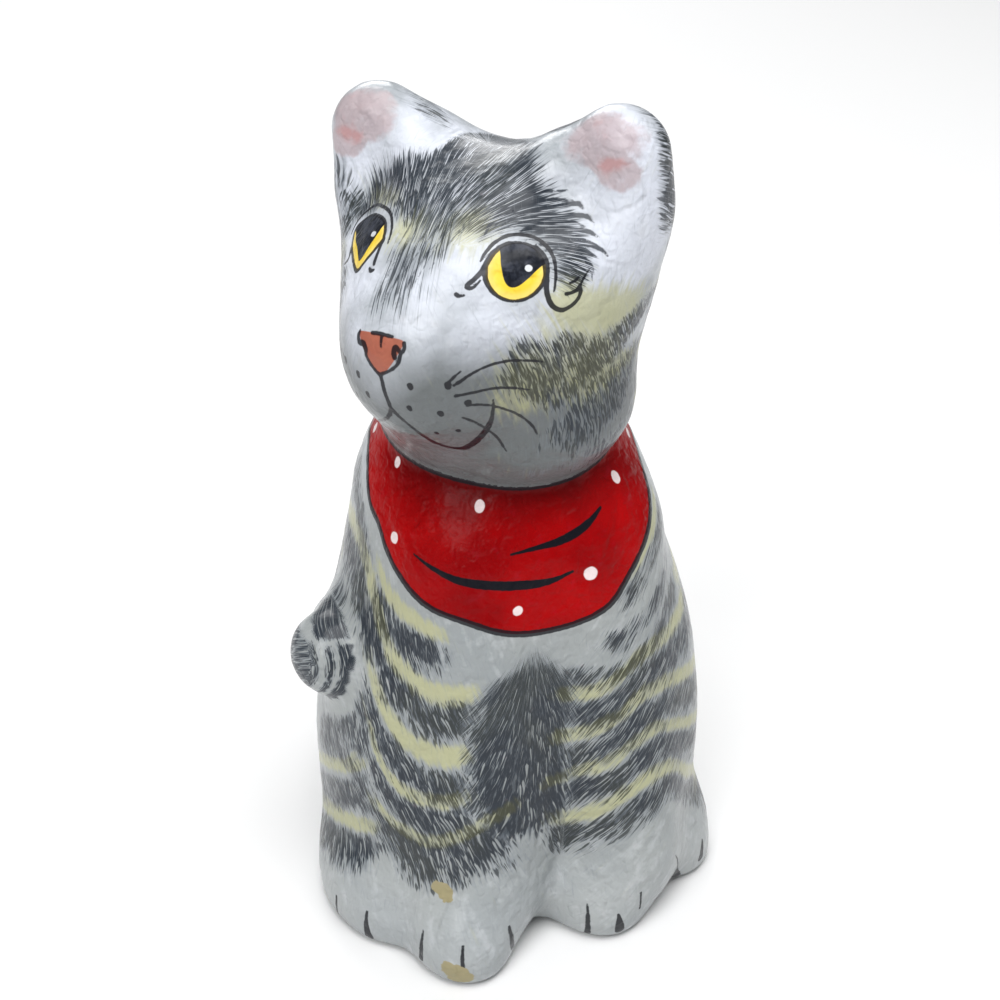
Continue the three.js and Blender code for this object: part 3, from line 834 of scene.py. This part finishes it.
def detail_distance(paint):
    """How far the nearest painted edge is, to lay smaller faces along it."""
    _, dots, folds = paint["scarf"]
    eyes, pupils, glints = paint["eyes"]
    ink, nose, _ = paint["lines"]
    brow, bridge, _ = paint["brow"]
    marks = [dots, folds, eyes, glints, ink, nose, paint["wash"][2], brow, bridge]
    marks.append(np.where(eyes < 1, pupils, FAR))
    return np.minimum.reduce([np.abs(mark) for mark in marks])


# ---- The skin's mesh -------------------------------------------------------------

# The faces near a painted edge are halved twice: (the longest edge that is left, as a share of
# the plain face size, and how near the painted edge it must lie, in millimetres).
FINER_STEPS = ((0.75, 1.9), (0.4, 0.85))
EVENING_ROUNDS = 4


def points_of(mesh):
    flat = np.empty(len(mesh.vertices) * 3)
    mesh.vertices.foreach_get("co", flat)
    return flat.reshape(-1, 3)


def into_mould(p):
    """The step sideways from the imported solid's place to the mould's, in millimetres."""
    step = np.zeros(3)
    for _ in range(4):
        sideways = slope(p + step, cat_distance)[:, :2]
        step[:2] += np.linalg.lstsq(sideways, -cat_distance(p + step), rcond=None)[0]
    return step


UNIT = CAT_HEIGHT / MOULD_HEIGHT    # metres for one of the mould's millimetres
MOULD_STEP = into_mould(points_of(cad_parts[NODE].data) / UNIT)


def to_mould(p):
    return p / UNIT + MOULD_STEP


def from_mould(p):
    return (p - MOULD_STEP) * UNIT


def finished_mesh(piece):
    """A plain mesh of a piece as its modifiers leave it."""
    return bpy.data.meshes.new_from_object(piece.evaluated_get(bpy.context.evaluated_depsgraph_get()))


def remeshed(node, size):
    """The solid's surface as even four-sided faces of about that size."""
    whole = bmesh.new()
    whole.from_mesh(node.data)
    bmesh.ops.remove_doubles(whole, verts=whole.verts, dist=1e-6)
    mesh = bpy.data.meshes.new("paper_skin_start")
    whole.to_mesh(mesh)
    whole.free()
    start = bpy.data.objects.new("paper_skin_start", mesh)
    bpy.context.collection.objects.link(start)
    remesh = start.modifiers.new("Even faces", "REMESH")
    remesh.mode = "VOXEL"
    remesh.voxel_size = size
    even = finished_mesh(start)
    bpy.data.objects.remove(start)
    return even


def ends_of_edges(bm):
    return np.array([[vertex.index for vertex in edge.verts] for edge in bm.edges])


def evened(bm, p):
    """Slides points towards their neighbours' middle and back onto the cat."""
    pairs = ends_of_edges(bm)
    degree = np.bincount(pairs.ravel(), minlength=len(p))[:, None]
    for _ in range(EVENING_ROUNDS):
        total = np.zeros_like(p)
        np.add.at(total, pairs[:, 0], p[pairs[:, 1]])
        np.add.at(total, pairs[:, 1], p[pairs[:, 0]])
        p = settle(p + 0.5 * (total / degree - p), 1)
    return p


def put_points(bm, p):
    for vertex, place in zip(bm.verts, p):
        vertex.co = place


def finer(bm, p, face_size, margin):
    """Halves the edges that are longer than face_size and lie near a painted edge."""
    near = detail_distance(chart_paint(p)) < margin
    pairs = ends_of_edges(bm)
    length = np.linalg.norm(p[pairs[:, 0]] - p[pairs[:, 1]], axis=1)
    chosen = np.flatnonzero((length > face_size) & near[pairs].any(1))
    bm.edges.ensure_lookup_table()
    bmesh.ops.subdivide_edges(bm, edges=[bm.edges[i] for i in chosen], cuts=1, use_grid_fill=True)
    bmesh.ops.triangulate(bm, faces=[face for face in bm.faces if len(face.verts) > 3])
    bm.verts.index_update()
    return settle(np.array([vertex.co for vertex in bm.verts]))


def skin_mesh(settings):
    """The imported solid's surface with small faces along painted edges, and the painting's values."""
    mesh = remeshed(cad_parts[NODE], settings.face_size)
    bm = bmesh.new()
    bm.from_mesh(mesh)
    p = evened(bm, settle(to_mould(points_of(mesh)), 4))
    put_points(bm, p)
    bmesh.ops.triangulate(bm, faces=bm.faces)
    for share, margin in FINER_STEPS:
        p = finer(bm, p, share * settings.face_size / UNIT, margin)
        put_points(bm, p)
    paint = chart_paint(p)
    put_points(bm, from_mould(p))
    bm.to_mesh(mesh)
    bm.free()
    for name, values in paint.items():
        layer = mesh.attributes.new(name, "FLOAT_VECTOR", "POINT")
        rows = np.stack(np.broadcast_arrays(*values), -1)
        layer.data.foreach_set("vector", rows.astype(np.float32).ravel())
    mesh.shade_smooth()
    mesh.name = "papier_mache_skin"
    return mesh


# ---- Node building ---------------------------------------------------------------

class Wire:
    """A node's output socket, with arithmetic that adds Math nodes."""

    def __init__(self, tree, socket):
        self.tree, self.socket = tree, socket

    def math(self, operation, *values):
        return add(self.tree, "ShaderNodeMath", {"operation": operation}, dict(enumerate(values)))

    def __add__(self, other):
        return self.math("ADD", self, other)

    def __sub__(self, other):
        return self.math("SUBTRACT", self, other)

    def __rsub__(self, other):
        return self.math("SUBTRACT", other, self)

    def __mul__(self, other):
        return self.math("MULTIPLY", self, other)

    def __truediv__(self, other):
        return self.math("DIVIDE", self, other)

    def __rtruediv__(self, other):
        return self.math("DIVIDE", other, self)

    def __abs__(self):
        return self.math("ABSOLUTE", self)

    def floor(self):
        return self.math("FLOOR", self)

    def root(self):
        return self.math("SQRT", self)

    def least(self, other):
        return self.math("MINIMUM", self, other)

    def most(self, other):
        return self.math("MAXIMUM", self, other)

    def held(self):
        """The value, kept from nothing to one."""
        return self.most(0.0).least(1.0)

    __radd__ = __add__
    __rmul__ = __mul__


def add(tree, kind, settings=None, sockets=None, output=0):
    """Adds a node: its settings first, then its sockets' values or wires. Gives one output."""
    node = tree.nodes.new(kind)
    for name, value in (settings or {}).items():
        setattr(node, name, value)
    for name, value in (sockets or {}).items():
        if isinstance(value, Wire):
            tree.links.new(value.socket, node.inputs[name])
        else:
            node.inputs[name].default_value = value
    return Wire(tree, node.outputs[output]) if node.outputs else node


# ---- The paper skin's relief -----------------------------------------------------

# Each is a setting of the skin and an input of the relief's tree.
RELIEF_SETTINGS = (
    "dent_depth", "dent_size", "sheet_step", "sheet_size", "crumple_depth", "crumple_size",
    "flat_foot", "seed",
)
SHEET_EDGE = 9.0   # how steeply a pasted sheet's edge rises


def input_name(setting):
    return setting.replace("_", " ").capitalize()


def relief_tree():
    """Dents, pasted sheets and crumples, raised along the skin and held back from the flat base."""
    tree = bpy.data.node_groups.new("Paper relief", "GeometryNodeTree")
    face = tree.interface
    face.new_socket("Geometry", in_out="INPUT", socket_type="NodeSocketGeometry")
    for setting in RELIEF_SETTINGS:
        face.new_socket(input_name(setting), in_out="INPUT", socket_type="NodeSocketFloat")
    face.new_socket("Material", in_out="INPUT", socket_type="NodeSocketMaterial")
    face.new_socket("Geometry", in_out="OUTPUT", socket_type="NodeSocketGeometry")
    given = tree.nodes.new("NodeGroupInput")
    size = {socket.name: Wire(tree, socket) for socket in given.outputs if socket.name}

    place = add(tree, "GeometryNodeInputPosition")
    normal = add(tree, "GeometryNodeInputNormal")

    def scaled(grain):
        return add(tree, "ShaderNodeVectorMath", {"operation": "SCALE"}, {0: place, "Scale": 1.0 / grain})

    def noise(grain, detail, shift):
        return add(tree, "ShaderNodeTexNoise", {"noise_dimensions": "4D"},
                   {"Vector": scaled(grain), "W": size["Seed"] + shift, "Scale": 1.0, "Detail": detail})

    def sheets(feature, output=0):
        return add(tree, "ShaderNodeTexVoronoi", {"voronoi_dimensions": "3D", "feature": feature},
                   {"Vector": warped, "Scale": 1.0}, output)

    dents = noise(size["Dent size"], detail=1.5, shift=0.0) - 0.5
    crumples = abs(noise(size["Crumple size"], detail=2.0, shift=5.0) - 0.5)
    drift = noise(size["Dent size"], detail=2.0, shift=9.0)
    warped = add(tree, "ShaderNodeVectorMath", {"operation": "ADD"},
                 {0: scaled(size["Sheet size"]), 1: drift})
    edge = (sheets("DISTANCE_TO_EDGE") * SHEET_EDGE).least(1.0)
    lift = add(tree, "ShaderNodeSeparateXYZ", None, {0: sheets("F1", "Color")}) - 0.5
    height = dents * size["Dent depth"] * 2.0 + crumples * size["Crumple depth"] * 2.0
    height = height + edge * lift * size["Sheet step"]
    above = add(tree, "ShaderNodeSeparateXYZ", None, {0: place}, output="Z")
    foot = (above / size["Flat foot"]).held()
    offset = add(tree, "ShaderNodeVectorMath", {"operation": "SCALE"}, {0: normal, "Scale": height * foot})
    moved = add(tree, "GeometryNodeSetPosition", None, {"Geometry": size["Geometry"], "Offset": offset})
    real = add(tree, "GeometryNodeRealizeInstances", None, {"Geometry": moved})
    painted = add(tree, "GeometryNodeSetMaterial", None, {"Geometry": real, "Material": size["Material"]})
    add(tree, "NodeGroupOutput", None, {"Geometry": painted})
    return tree


def with_relief(piece, material, settings):
    """Runs the relief on a piece and keeps the result as its plain mesh."""
    tree = relief_tree()
    modifier = piece.modifiers.new("Paper relief", "NODES")
    modifier.node_group = tree
    sockets = {item.name: item.identifier for item in tree.interface.items_tree if item.in_out == "INPUT"}
    for setting in RELIEF_SETTINGS:
        modifier[sockets[input_name(setting)]] = float(getattr(settings, setting))
    modifier[sockets["Material"]] = material
    bpy.context.view_layer.update()
    mesh = finished_mesh(piece)
    piece.modifiers.remove(modifier)
    piece.data = mesh
    mesh.materials.clear()
    mesh.materials.append(material)
    mesh.shade_smooth()


# ---- The painting's material -----------------------------------------------------

STROKE_EDGE = 0.14   # the soft edge of a brush stroke, as a share of the strokes' pitch


class Brush:
    """Adds the painting's nodes. Noise has sizes in metres, and fur has sizes in millimetres.
    The fur is a layer of three: the place across it, the place along it, and how dark it is."""

    def __init__(self, tree, colours):
        self.tree, self.colours = tree, colours
        self.place = add(tree, "ShaderNodeTexCoord", output="Object")
        self.height = add(tree, "ShaderNodeSeparateXYZ", None, {0: self.place}, output="Z")
        self.soft = self.noise(0.03, 3)
        self.speck = self.noise(0.004, 3, 0.6)
        self.patchy = (self.noise(0.009, 2) - 0.5) * 0.9
        self.wobble = (self.noise(0.0016, 1) - 0.5) * 0.35

    def layer(self, name):
        """The three values that the mesh holds under that name."""
        vector = add(self.tree, "ShaderNodeAttribute", {"attribute_name": name}, output="Vector")
        node = add(self.tree, "ShaderNodeSeparateXYZ", None, {0: vector}).socket.node
        return [Wire(self.tree, socket) for socket in node.outputs]

    def noise(self, size, detail, rough=0.5, vector=None):
        """Noise through the whole skin, or flat noise over the vector that is given."""
        dimensions = "2D" if vector else "3D"
        sockets = {"Vector": vector or self.place, "Scale": 1 / size, "Detail": detail, "Roughness": rough}
        return add(self.tree, "ShaderNodeTexNoise", {"noise_dimensions": dimensions}, sockets)

    def ramp(self, value, low, high):
        """Nothing at low, one at high, smooth between."""
        return add(self.tree, "ShaderNodeMapRange", {"interpolation_type": "SMOOTHSTEP"},
                   {"Value": value, "From Min": low, "From Max": high})

    def inside(self, distance, outer, inner=None):
        """One inside a painted outline, with an edge that soft outwards and inwards."""
        return self.ramp(distance, outer, -(inner or outer))

    def mix(self, share, under, over):
        """One colour laid over another, by that share."""
        return add(self.tree, "ShaderNodeMix", {"data_type": "RGBA"}, {0: share, 6: under, 7: over}, 2)

    def flow(self, fur, width, length, shift):
        """Streaks of that width and length along the fur."""
        vector = add(self.tree, "ShaderNodeCombineXYZ", None,
                     {0: fur[0] / width + shift, 1: fur[1] / length + shift})
        return self.noise(1.0, 1.5, 0.5, vector)

    def random(self, dimensions, sockets):
        return add(self.tree, "ShaderNodeTexWhiteNoise", {"noise_dimensions": dimensions}, sockets)

    def strokes(self, fur, amount, pitch, length, full, seed=0.0):
        """Tapered brush strokes side by side. The amount, from nothing to one, is how many there
        are and how wide they get. Full is the widest one's half width, as a share of the pitch."""
        wander = self.flow(fur, 7, 11, seed) * 3.0
        column = (fur[0] + wander) / pitch + seed
        number = column.floor()
        run = fur[1] / length + self.random("1D", {"W": number}) * 9.0
        cell = run.floor()
        part = run - cell
        which = add(self.tree, "ShaderNodeCombineXYZ", None, {0: number, 1: cell})
        luck = self.random("2D", {"Vector": which})
        strength = ((amount - luck * 0.8) * 3.0).held()
        taper = (part * 5.0).least(1.0) * (1 - part).root()
        aside = abs(column - number - 0.3 - luck * 0.4)
        return self.ramp(strength * taper * (full + STROKE_EDGE) - STROKE_EDGE - aside, -STROKE_EDGE, 0.1)

    def hairs(self, fur):
        """Dark strokes of three sizes, the grey wash under them and its solid core."""
        thick = fur[2] + self.patchy * self.ramp(fur[2], 0.02, 0.3)
        streaks = self.flow(fur, 0.65, 5.5, 7.3) - 0.5
        dark = self.strokes(fur, thick, pitch=1.2, length=8, full=0.5)
        dark = dark.most(self.strokes(fur, thick, pitch=0.8, length=6, full=0.5, seed=3.7))
        dark = dark.most(self.strokes(fur, thick * 0.9, pitch=0.5, length=4, full=0.5, seed=8.3))
        grey = self.ramp(thick * 1.1 + streaks * 1.1, 0.1, 0.6)
        core = self.ramp(thick + streaks * 1.2, 0.45, 0.9)
        return dark, grey, core


def ground_paint(brush, fur, shade):
    """White paint: cool on the head, greyer paint and painted shade on the body, painted shade under the
    chin, painted light on the paws' tops, and chalky marks.
    """
    colours, ramp, mix = brush.colours, brush.ramp, brush.mix
    # Below the head the ground is much darker: a little greyer paint, and mostly painted shade.
    ground = mix(ramp(brush.height, 0.11, 0.16), colours.body_ground_with_painted_shade, colours.ground)
    ground = mix(ramp(brush.soft, 0.68, 0.35) * 0.8, ground, colours.ground_shade)
    brushed = brush.speck * 0.6 + brush.flow(fur, 2.2, 16, 12.5) * 0.4
    ground = mix(ramp(brushed, 0.5, 0.68) * 0.22, ground, colours.chalk_and_painted_light)
    # Painted light: the ground near the base a little paler, for the light on the paws' tops.
    ground = mix(ramp(brush.height, 0.03, 0.01) * 0.12, ground, colours.chalk_and_painted_light)
    # Painted shade under the nose and on the lower cheeks.
    return mix((shade * 1.6).least(1.0) * 0.92, ground, colours.chin_painted_shade)


def fur_paint(brush, ground, coat_fur, tuft_fur, yellow, brow, bridge):
    """Yellow wash, then for each layer of fur its grey, its dark strokes and white ones on top."""
    colours, ramp, mix = brush.colours, brush.ramp, brush.mix
    gold = ramp(yellow + (brush.flow(coat_fur, 1.3, 9, 3.1) - 0.5) * 0.9, 0.15, 0.8)
    olive = (gold * 0.9 + ramp(brush.noise(0.02, 1), 0.45, 0.65) * 0.3).least(1.0)
    edge = (brush.noise(0.0016, 1) - 0.5) * 0.5
    coat = mix(gold * 0.74, ground, colours.gold)
    pale = mix(gold * 0.6, ground, colours.gold)
    for fur, bare, drawn, firm in ((coat_fur, 0.5, brow, 0.9), (tuft_fur, 0.36, bridge, 0.6)):
        dark, grey, core = brush.hairs(fur)
        coat = mix(grey * 0.45, coat, colours.hair_grey)
        coat = mix(core * 0.9, coat, mix(gold, colours.hair_core, colours.hair_olive))
        deep = 0.78 + ramp(fur[2], 0.2, 0.7) * 0.12
        coat = mix(dark * deep, coat, mix(olive, colours.hair_dark, colours.hair_olive))
        coat = mix(brush.inside(drawn + edge, 0.1, 0.2) * firm, coat, colours.hair_dark)
        light = brush.strokes(fur, bare, pitch=0.75, length=5, full=0.42, seed=5.9)
        coat = mix(light * ramp(fur[2], 0.1, 0.4) * 0.78, coat, pale)
    return coat


def ear_paint(brush, coat, pink):
    ramp, mix = brush.ramp, brush.mix
    grain = brush.speck - 0.5
    coat = mix(ramp(pink + grain * 1.4, 0.2, 0.9) * 0.75, coat, brush.colours.ear_pink)
    return mix(ramp(pink + grain * 1.2, 1.0, 1.8) * 0.65, coat, brush.colours.ear_red)


def scarf_paint(brush, coat, cloth, dot, fold, painted_chin_shadow):
    """The red cloth: deeper in patches, rubbed, in painted shadow under the chin, with its dots and folds.
    """
    colours, ramp, mix = brush.colours, brush.ramp, brush.mix
    red = mix(ramp(brush.soft, 0.35, 0.7), colours.scarf_deep, colours.scarf)
    red = mix(ramp(brush.speck, 0.55, 0.8) * 0.25, red, colours.scarf_worn)
    # Painted shadow of the chin on the cloth.
    red = mix(painted_chin_shadow * 0.92, red, colours.scarf_shade)
    red = mix(brush.inside(dot + brush.wobble, 0.15), red, colours.scarf_dot)
    red = mix(brush.inside(fold + brush.wobble, 0.12, 0.15), red, colours.ink)
    return mix(brush.inside(cloth, 0.1), coat, red)


def nose_and_eye_paint(brush, coat, nose, eye, pupil, glint):
    colours, ramp, mix = brush.colours, brush.ramp, brush.mix
    salmon = mix(ramp(brush.soft, 0.4, 0.6), colours.nose, colours.nose_deep)
    coat = mix(brush.inside(nose, 0.1, 0.15), coat, salmon)
    iris = mix(ramp(eye, -2.6, -0.6), colours.iris, colours.iris_rim)
    # Painted sheen: lighter mottles in the dark of the pupils.
    sheened_pupil = mix(ramp(brush.speck, 0.42, 0.62) * 0.6, colours.pupil, colours.pupil_painted_sheen)
    iris = mix(brush.inside(pupil, 0.12), iris, sheened_pupil)
    iris = mix(brush.inside(glint, 0.12), iris, colours.chalk_and_painted_light)
    return mix(brush.inside(eye, 0.08), coat, iris)


def varnished(brush, colour, cloth):
    """The shader: paint under clear varnish, over creased paper. The scarf is less glossy."""
    crease = brush.ramp(abs(brush.noise(0.014, 2, 0.55) - 0.5), 0.0, 0.1)
    crinkle = brush.ramp(abs(brush.noise(0.005, 2, 0.6) - 0.5), 0.0, 0.14)
    lumps = brush.noise(0.003, 2, 0.6)
    relief = crease * 0.8 + crinkle * 0.35 + lumps * 0.8
    bump = add(brush.tree, "ShaderNodeBump", None, {"Height": relief, "Strength": 0.65, "Distance": 0.0006})
    rough = 0.26 + brush.ramp(brush.soft, 0.3, 0.7) * 0.12 + (1 - crinkle) * 0.1
    varnish = 0.55 - brush.inside(cloth, 0.1) * 0.5
    return add(brush.tree, "ShaderNodeBsdfPrincipled", None, {
        "Base Color": colour, "Roughness": rough, "Normal": bump, "Coat Weight": varnish,
        "Coat Roughness": 0.2, "Coat IOR": 1.4, "IOR": 1.45, "Specular IOR Level": 0.08,
    })


def paint_material(colours):
    material = bpy.data.materials.new("varnished_painting")
    material.use_nodes = True
    tree = material.node_tree
    tree.nodes.clear()
    brush = Brush(tree, colours)
    coat_fur, tuft_fur = brush.layer("coat"), brush.layer("tuft")
    yellow, pink, chip = brush.layer("wash")
    cloth, dot, fold = brush.layer("scarf")
    # The third value of lines is the painted shade under the nose and cheeks.
    ink, nose, shade = brush.layer("lines")
    # The third value of brow is the painted shadow of the chin on the scarf.
    brow, bridge, painted_chin_shadow = brush.layer("brow")

    coat = ground_paint(brush, coat_fur, shade)
    coat = fur_paint(brush, coat, coat_fur, tuft_fur, yellow, brow, bridge)
    coat = ear_paint(brush, coat, pink)
    coat = scarf_paint(brush, coat, cloth, dot, fold, painted_chin_shadow)
    coat = nose_and_eye_paint(brush, coat, nose, *brush.layer("eyes"))
    coat = brush.mix(brush.inside(ink + brush.wobble, 0.12) * 0.94, coat, colours.ink)
    coat = brush.mix(brush.inside(chip + (brush.speck - 0.5) * 3.0, 0.1, 0.25), coat, colours.chip)
    add(tree, "ShaderNodeOutputMaterial", None, {"Surface": varnished(brush, coat, cloth)})
    return material


# ---- Settings --------------------------------------------------------------------

def length_setting(name, about, default, least=0.0):
    return FloatProperty(name=name, description=about, default=default, min=least, subtype="DISTANCE",
                         unit="LENGTH", precision=5)


def colour_setting(name, about, default):
    return FloatVectorProperty(name=name, description=about, default=(*default, 1.0), size=4,
                               min=0.0, max=1.0, subtype="COLOR")


def power_setting(name, about, default):
    return FloatProperty(name=name, description=about, default=default, min=0.0, unit="POWER")


class PaperCatSkin(bpy.types.PropertyGroup):
    face_size: length_setting("Face size", "Size of the skin's plain faces", 0.0016, 0.0005)
    dent_depth: length_setting("Dent depth", "Depth of the broad dents", 0.0008)
    dent_size: length_setting("Dent size", "Distance between broad dents", 0.026, 0.001)
    sheet_step: length_setting("Sheet step", "Thickness of a pasted sheet's edge", 0.00022)
    sheet_size: length_setting("Sheet size", "Size of the pasted sheets", 0.016, 0.001)
    crumple_depth: length_setting("Crumple depth", "Depth of the small crumples", 0.0003)
    crumple_size: length_setting("Crumple size", "Distance between small crumples", 0.008, 0.0005)
    flat_foot: length_setting("Flat foot", "Height over which the relief fades out", 0.003, 0.0005)
    seed: IntProperty(name="Seed", description="Which crumples the paper gets", default=4, min=0)


class PaperCatColours(bpy.types.PropertyGroup):
    ground: colour_setting("Ground", "White ground of the head", (0.7, 0.73, 0.81))
    # The body's ground: greyer paint with painted shade, darker than the head's.
    body_ground_with_painted_shade: colour_setting("Ground of the body", "White ground of the body", (0.35, 0.37, 0.368))
    ground_shade: colour_setting("Ground shade", "Greyer patches of the ground", (0.30, 0.325, 0.335))
    # Painted shade: the ground's colour under the nose and on the lower cheeks.
    chin_painted_shade: colour_setting("Ground of the chin", "Shaded ground under the nose", (0.118, 0.13, 0.13))
    # Also the painted light on the paws' tops.
    chalk_and_painted_light: colour_setting("Ground light", "Chalky marks, and the eyes' glints", (0.70, 0.72, 0.75))
    gold: colour_setting("Gold wash", "Pale yellow wash beside the stripes", (0.47, 0.465, 0.24))
    hair_grey: colour_setting("Grey hair", "Grey wash under the strokes", (0.2, 0.225, 0.25))
    hair_core: colour_setting("Hair core", "Grey under the dark strokes", (0.055, 0.067, 0.082))
    hair_dark: colour_setting("Dark hair", "Dark slate strokes", (0.022, 0.028, 0.038))
    hair_olive: colour_setting("Olive hair", "Strokes mixed with the yellow", (0.055, 0.058, 0.035))
    ear_pink: colour_setting("Ear pink", "Inside of the ears", (0.44, 0.34, 0.355))
    ear_red: colour_setting("Ear red", "Redder patches inside the ears", (0.50, 0.23, 0.22))
    scarf: colour_setting("Scarf", "Red of the scarf", (0.42, 0.001, 0.002))
    scarf_deep: colour_setting("Scarf deep", "Darker red of the scarf", (0.24, 0.0008, 0.002))
    # Painted shadow: the red under the chin.
    scarf_shade: colour_setting("Scarf shade", "Red in the shade of the chin", (0.06, 0.0005, 0.001))
    scarf_worn: colour_setting("Scarf worn", "Rubbed red of the scarf", (0.38, 0.012, 0.03))
    scarf_dot: colour_setting("Scarf dot", "Pale dots of the scarf", (0.85, 0.72, 0.72))
    nose: colour_setting("Nose", "Salmon of the nose", (0.38, 0.125, 0.08))
    nose_deep: colour_setting("Nose deep", "Deeper salmon of the nose", (0.36, 0.10, 0.065))
    iris: colour_setting("Iris", "Yellow of the eyes", (0.84, 0.60, 0.05))
    iris_rim: colour_setting("Iris rim", "Paler rim of the eyes", (0.88, 0.66, 0.16))
    pupil: colour_setting("Pupil", "Dark of the pupils", (0.006, 0.008, 0.014))
    # Painted sheen: the lighter mottles in the pupils.
    pupil_painted_sheen: colour_setting("Pupil light", "Worn dark of the pupils", (0.055, 0.062, 0.085))
    ink: colour_setting("Ink", "Drawn lines", (0.008, 0.008, 0.012))
    chip: colour_setting("Chip", "Bare card where the paint is chipped", (0.33, 0.29, 0.165))


class PaperCatStage(bpy.types.PropertyGroup):
    floor: colour_setting("Floor", "Colour of the floor", (0.82, 0.82, 0.82))
    floor_size: length_setting("Floor size", "Width of the floor", 12.0, 1.0)
    sky: FloatProperty(name="Sky", description="Strength of the even light", default=0.18, min=0.0)
    key: power_setting("Key", "Power of the main light", 17.0)
    fill: power_setting("Fill", "Power of the side light", 2.4)
    back: power_setting("Back", "Power of the light behind", 30.0)
    top: power_setting("Top", "Power of the light overhead", 74.0)


# ---- Pieces and stage ------------------------------------------------------------

class PAPERCAT_OT_skin(bpy.types.Operator):
    """Make the cat's paper skin with its relief and painting"""
    bl_idname = "papercat.skin"
    bl_label = "Painted skin"

    def execute(self, context):
        settings = context.scene.paper_cat_skin
        piece = bpy.data.objects.new("papier_mache_skin", skin_mesh(settings))
        context.collection.objects.link(piece)
        with_relief(piece, paint_material(context.scene.paper_cat_colours), settings)
        if len(piece.data.vertices) == 0:
            raise RuntimeError("the relief left no skin")
        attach(piece, BODY)
        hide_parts("papier_mache_cat")
        return {"FINISHED"}


# Where the camera is, seen from its target: azimuth, height and way off, with lengths in the
# mould's millimetres. The lens and the sensor are in millimetres of their own.
CAMERA_AZIMUTH, CAMERA_ELEVATION = radians(-19.854), radians(27.188)
CAMERA_AWAY, CAMERA_TARGET = 458.59, np.array((-3.966, -3.717, 119.345))
LENS, SENSOR, NEAREST = 59.053, 36.0, 0.01
# A light is (the setting with its power, place, width), in metres.
LIGHTS = (
    ("key", (-1.1, -1.0, 1.3), 1.1),
    ("fill", (1.3, -0.9, 0.9), 2.0),
    ("top", (0.1, -0.5, 2.8), 2.4),
    ("back", (0.4, 2.4, 1.6), 1.6),
)
FLOOR_DROP = 0.0004     # keeps the floor out of the flat base
FLOOR_ROUGHNESS = 0.7
SKY_COLOUR = (0.96, 0.98, 1, 1)


def aimed(thing, place, target):
    thing.location = place
    thing.rotation_euler = (Vector(target) - Vector(place)).to_track_quat("-Z", "Y").to_euler()
    bpy.context.collection.objects.link(thing)
    return thing


def make_floor(settings):
    half = settings.floor_size / 2
    corners = [(x * half, y * half, 0) for x, y in ((-1, -1), (1, -1), (1, 1), (-1, 1))]
    mesh = bpy.data.meshes.new("floor")
    mesh.from_pydata(corners, [], [(0, 1, 2, 3)])
    paint = bpy.data.materials.new("floor")
    paint.use_nodes = True
    sockets = paint.node_tree.nodes["Principled BSDF"].inputs
    sockets["Base Color"].default_value = settings.floor
    sockets["Roughness"].default_value = FLOOR_ROUGHNESS
    mesh.materials.append(paint)
    floor = bpy.data.objects.new("floor", mesh)
    floor.location.z = -FLOOR_DROP
    bpy.context.collection.objects.link(floor)
    return floor


def make_sky(settings):
    sky = bpy.data.worlds.new("studio")
    sky.use_nodes = True
    sockets = sky.node_tree.nodes["Background"].inputs
    sockets["Color"].default_value = SKY_COLOUR
    sockets["Strength"].default_value = settings.sky
    return sky


def make_lights(settings):
    for role, place, width in LIGHTS:
        light = bpy.data.lights.new(f"{role}_light", "AREA")
        light.shape = "DISK"
        light.size = width
        light.energy = getattr(settings, role)
        aimed(bpy.data.objects.new(light.name, light), place, (0, 0, CAT_HEIGHT / 2))


def make_camera():
    camera = bpy.data.cameras.new("camera")
    camera.lens, camera.sensor_width, camera.clip_start = LENS, SENSOR, NEAREST
    flat = cos(CAMERA_ELEVATION)
    way = np.array((sin(CAMERA_AZIMUTH) * flat, -cos(CAMERA_AZIMUTH) * flat, sin(CAMERA_ELEVATION)))
    target = from_mould(CAMERA_TARGET)
    return aimed(bpy.data.objects.new("camera", camera), target + way * CAMERA_AWAY * UNIT, target)


class PAPERCAT_OT_stage(bpy.types.Operator):
    """Set the floor, the lights and the camera"""
    bl_idname = "papercat.stage"
    bl_label = "Stage"

    def execute(self, context):
        settings = context.scene.paper_cat_stage
        floor = make_floor(settings)
        context.scene.world = make_sky(settings)
        make_lights(settings)
        context.scene.camera = make_camera()
        context.scene.view_settings.view_transform = "Standard"
        return {"FINISHED"}


class PAPERCAT_PT_sidebar(bpy.types.Panel):
    bl_label = "Paper cat"
    bl_idname = "PAPERCAT_PT_sidebar"
    bl_space_type = "VIEW_3D"
    bl_region_type = "UI"
    bl_category = "Paper cat"

    def draw(self, context):
        layout = self.layout
        for operator, settings in OPERATORS:
            layout.operator(operator)
            for name in settings:
                box, group = layout.box(), getattr(context.scene, name)
                for prop in group.bl_rna.properties:
                    if prop.identifier not in {"rna_type", "name"}:
                        box.prop(group, prop.identifier)


OPERATORS = (
    ("papercat.skin", ("paper_cat_skin", "paper_cat_colours")),
    ("papercat.stage", ("paper_cat_stage",)),
)
SETTINGS = (
    ("paper_cat_skin", PaperCatSkin), ("paper_cat_colours", PaperCatColours),
    ("paper_cat_stage", PaperCatStage),
)
CLASSES = (PaperCatSkin, PaperCatColours, PaperCatStage, PAPERCAT_OT_skin, PAPERCAT_OT_stage,
           PAPERCAT_PT_sidebar)


def register():
    for made in CLASSES:
        bpy.utils.register_class(made)
    for name, group in SETTINGS:
        setattr(bpy.types.Scene, name, PointerProperty(type=group))


def unregister():
    for name, _ in SETTINGS:
        delattr(bpy.types.Scene, name)
    for made in reversed(CLASSES):
        bpy.utils.unregister_class(made)


def main():
    register()
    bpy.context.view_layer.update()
    bpy.ops.papercat.stage()
    bpy.ops.papercat.skin()


if __name__ == "__main__":
    main()
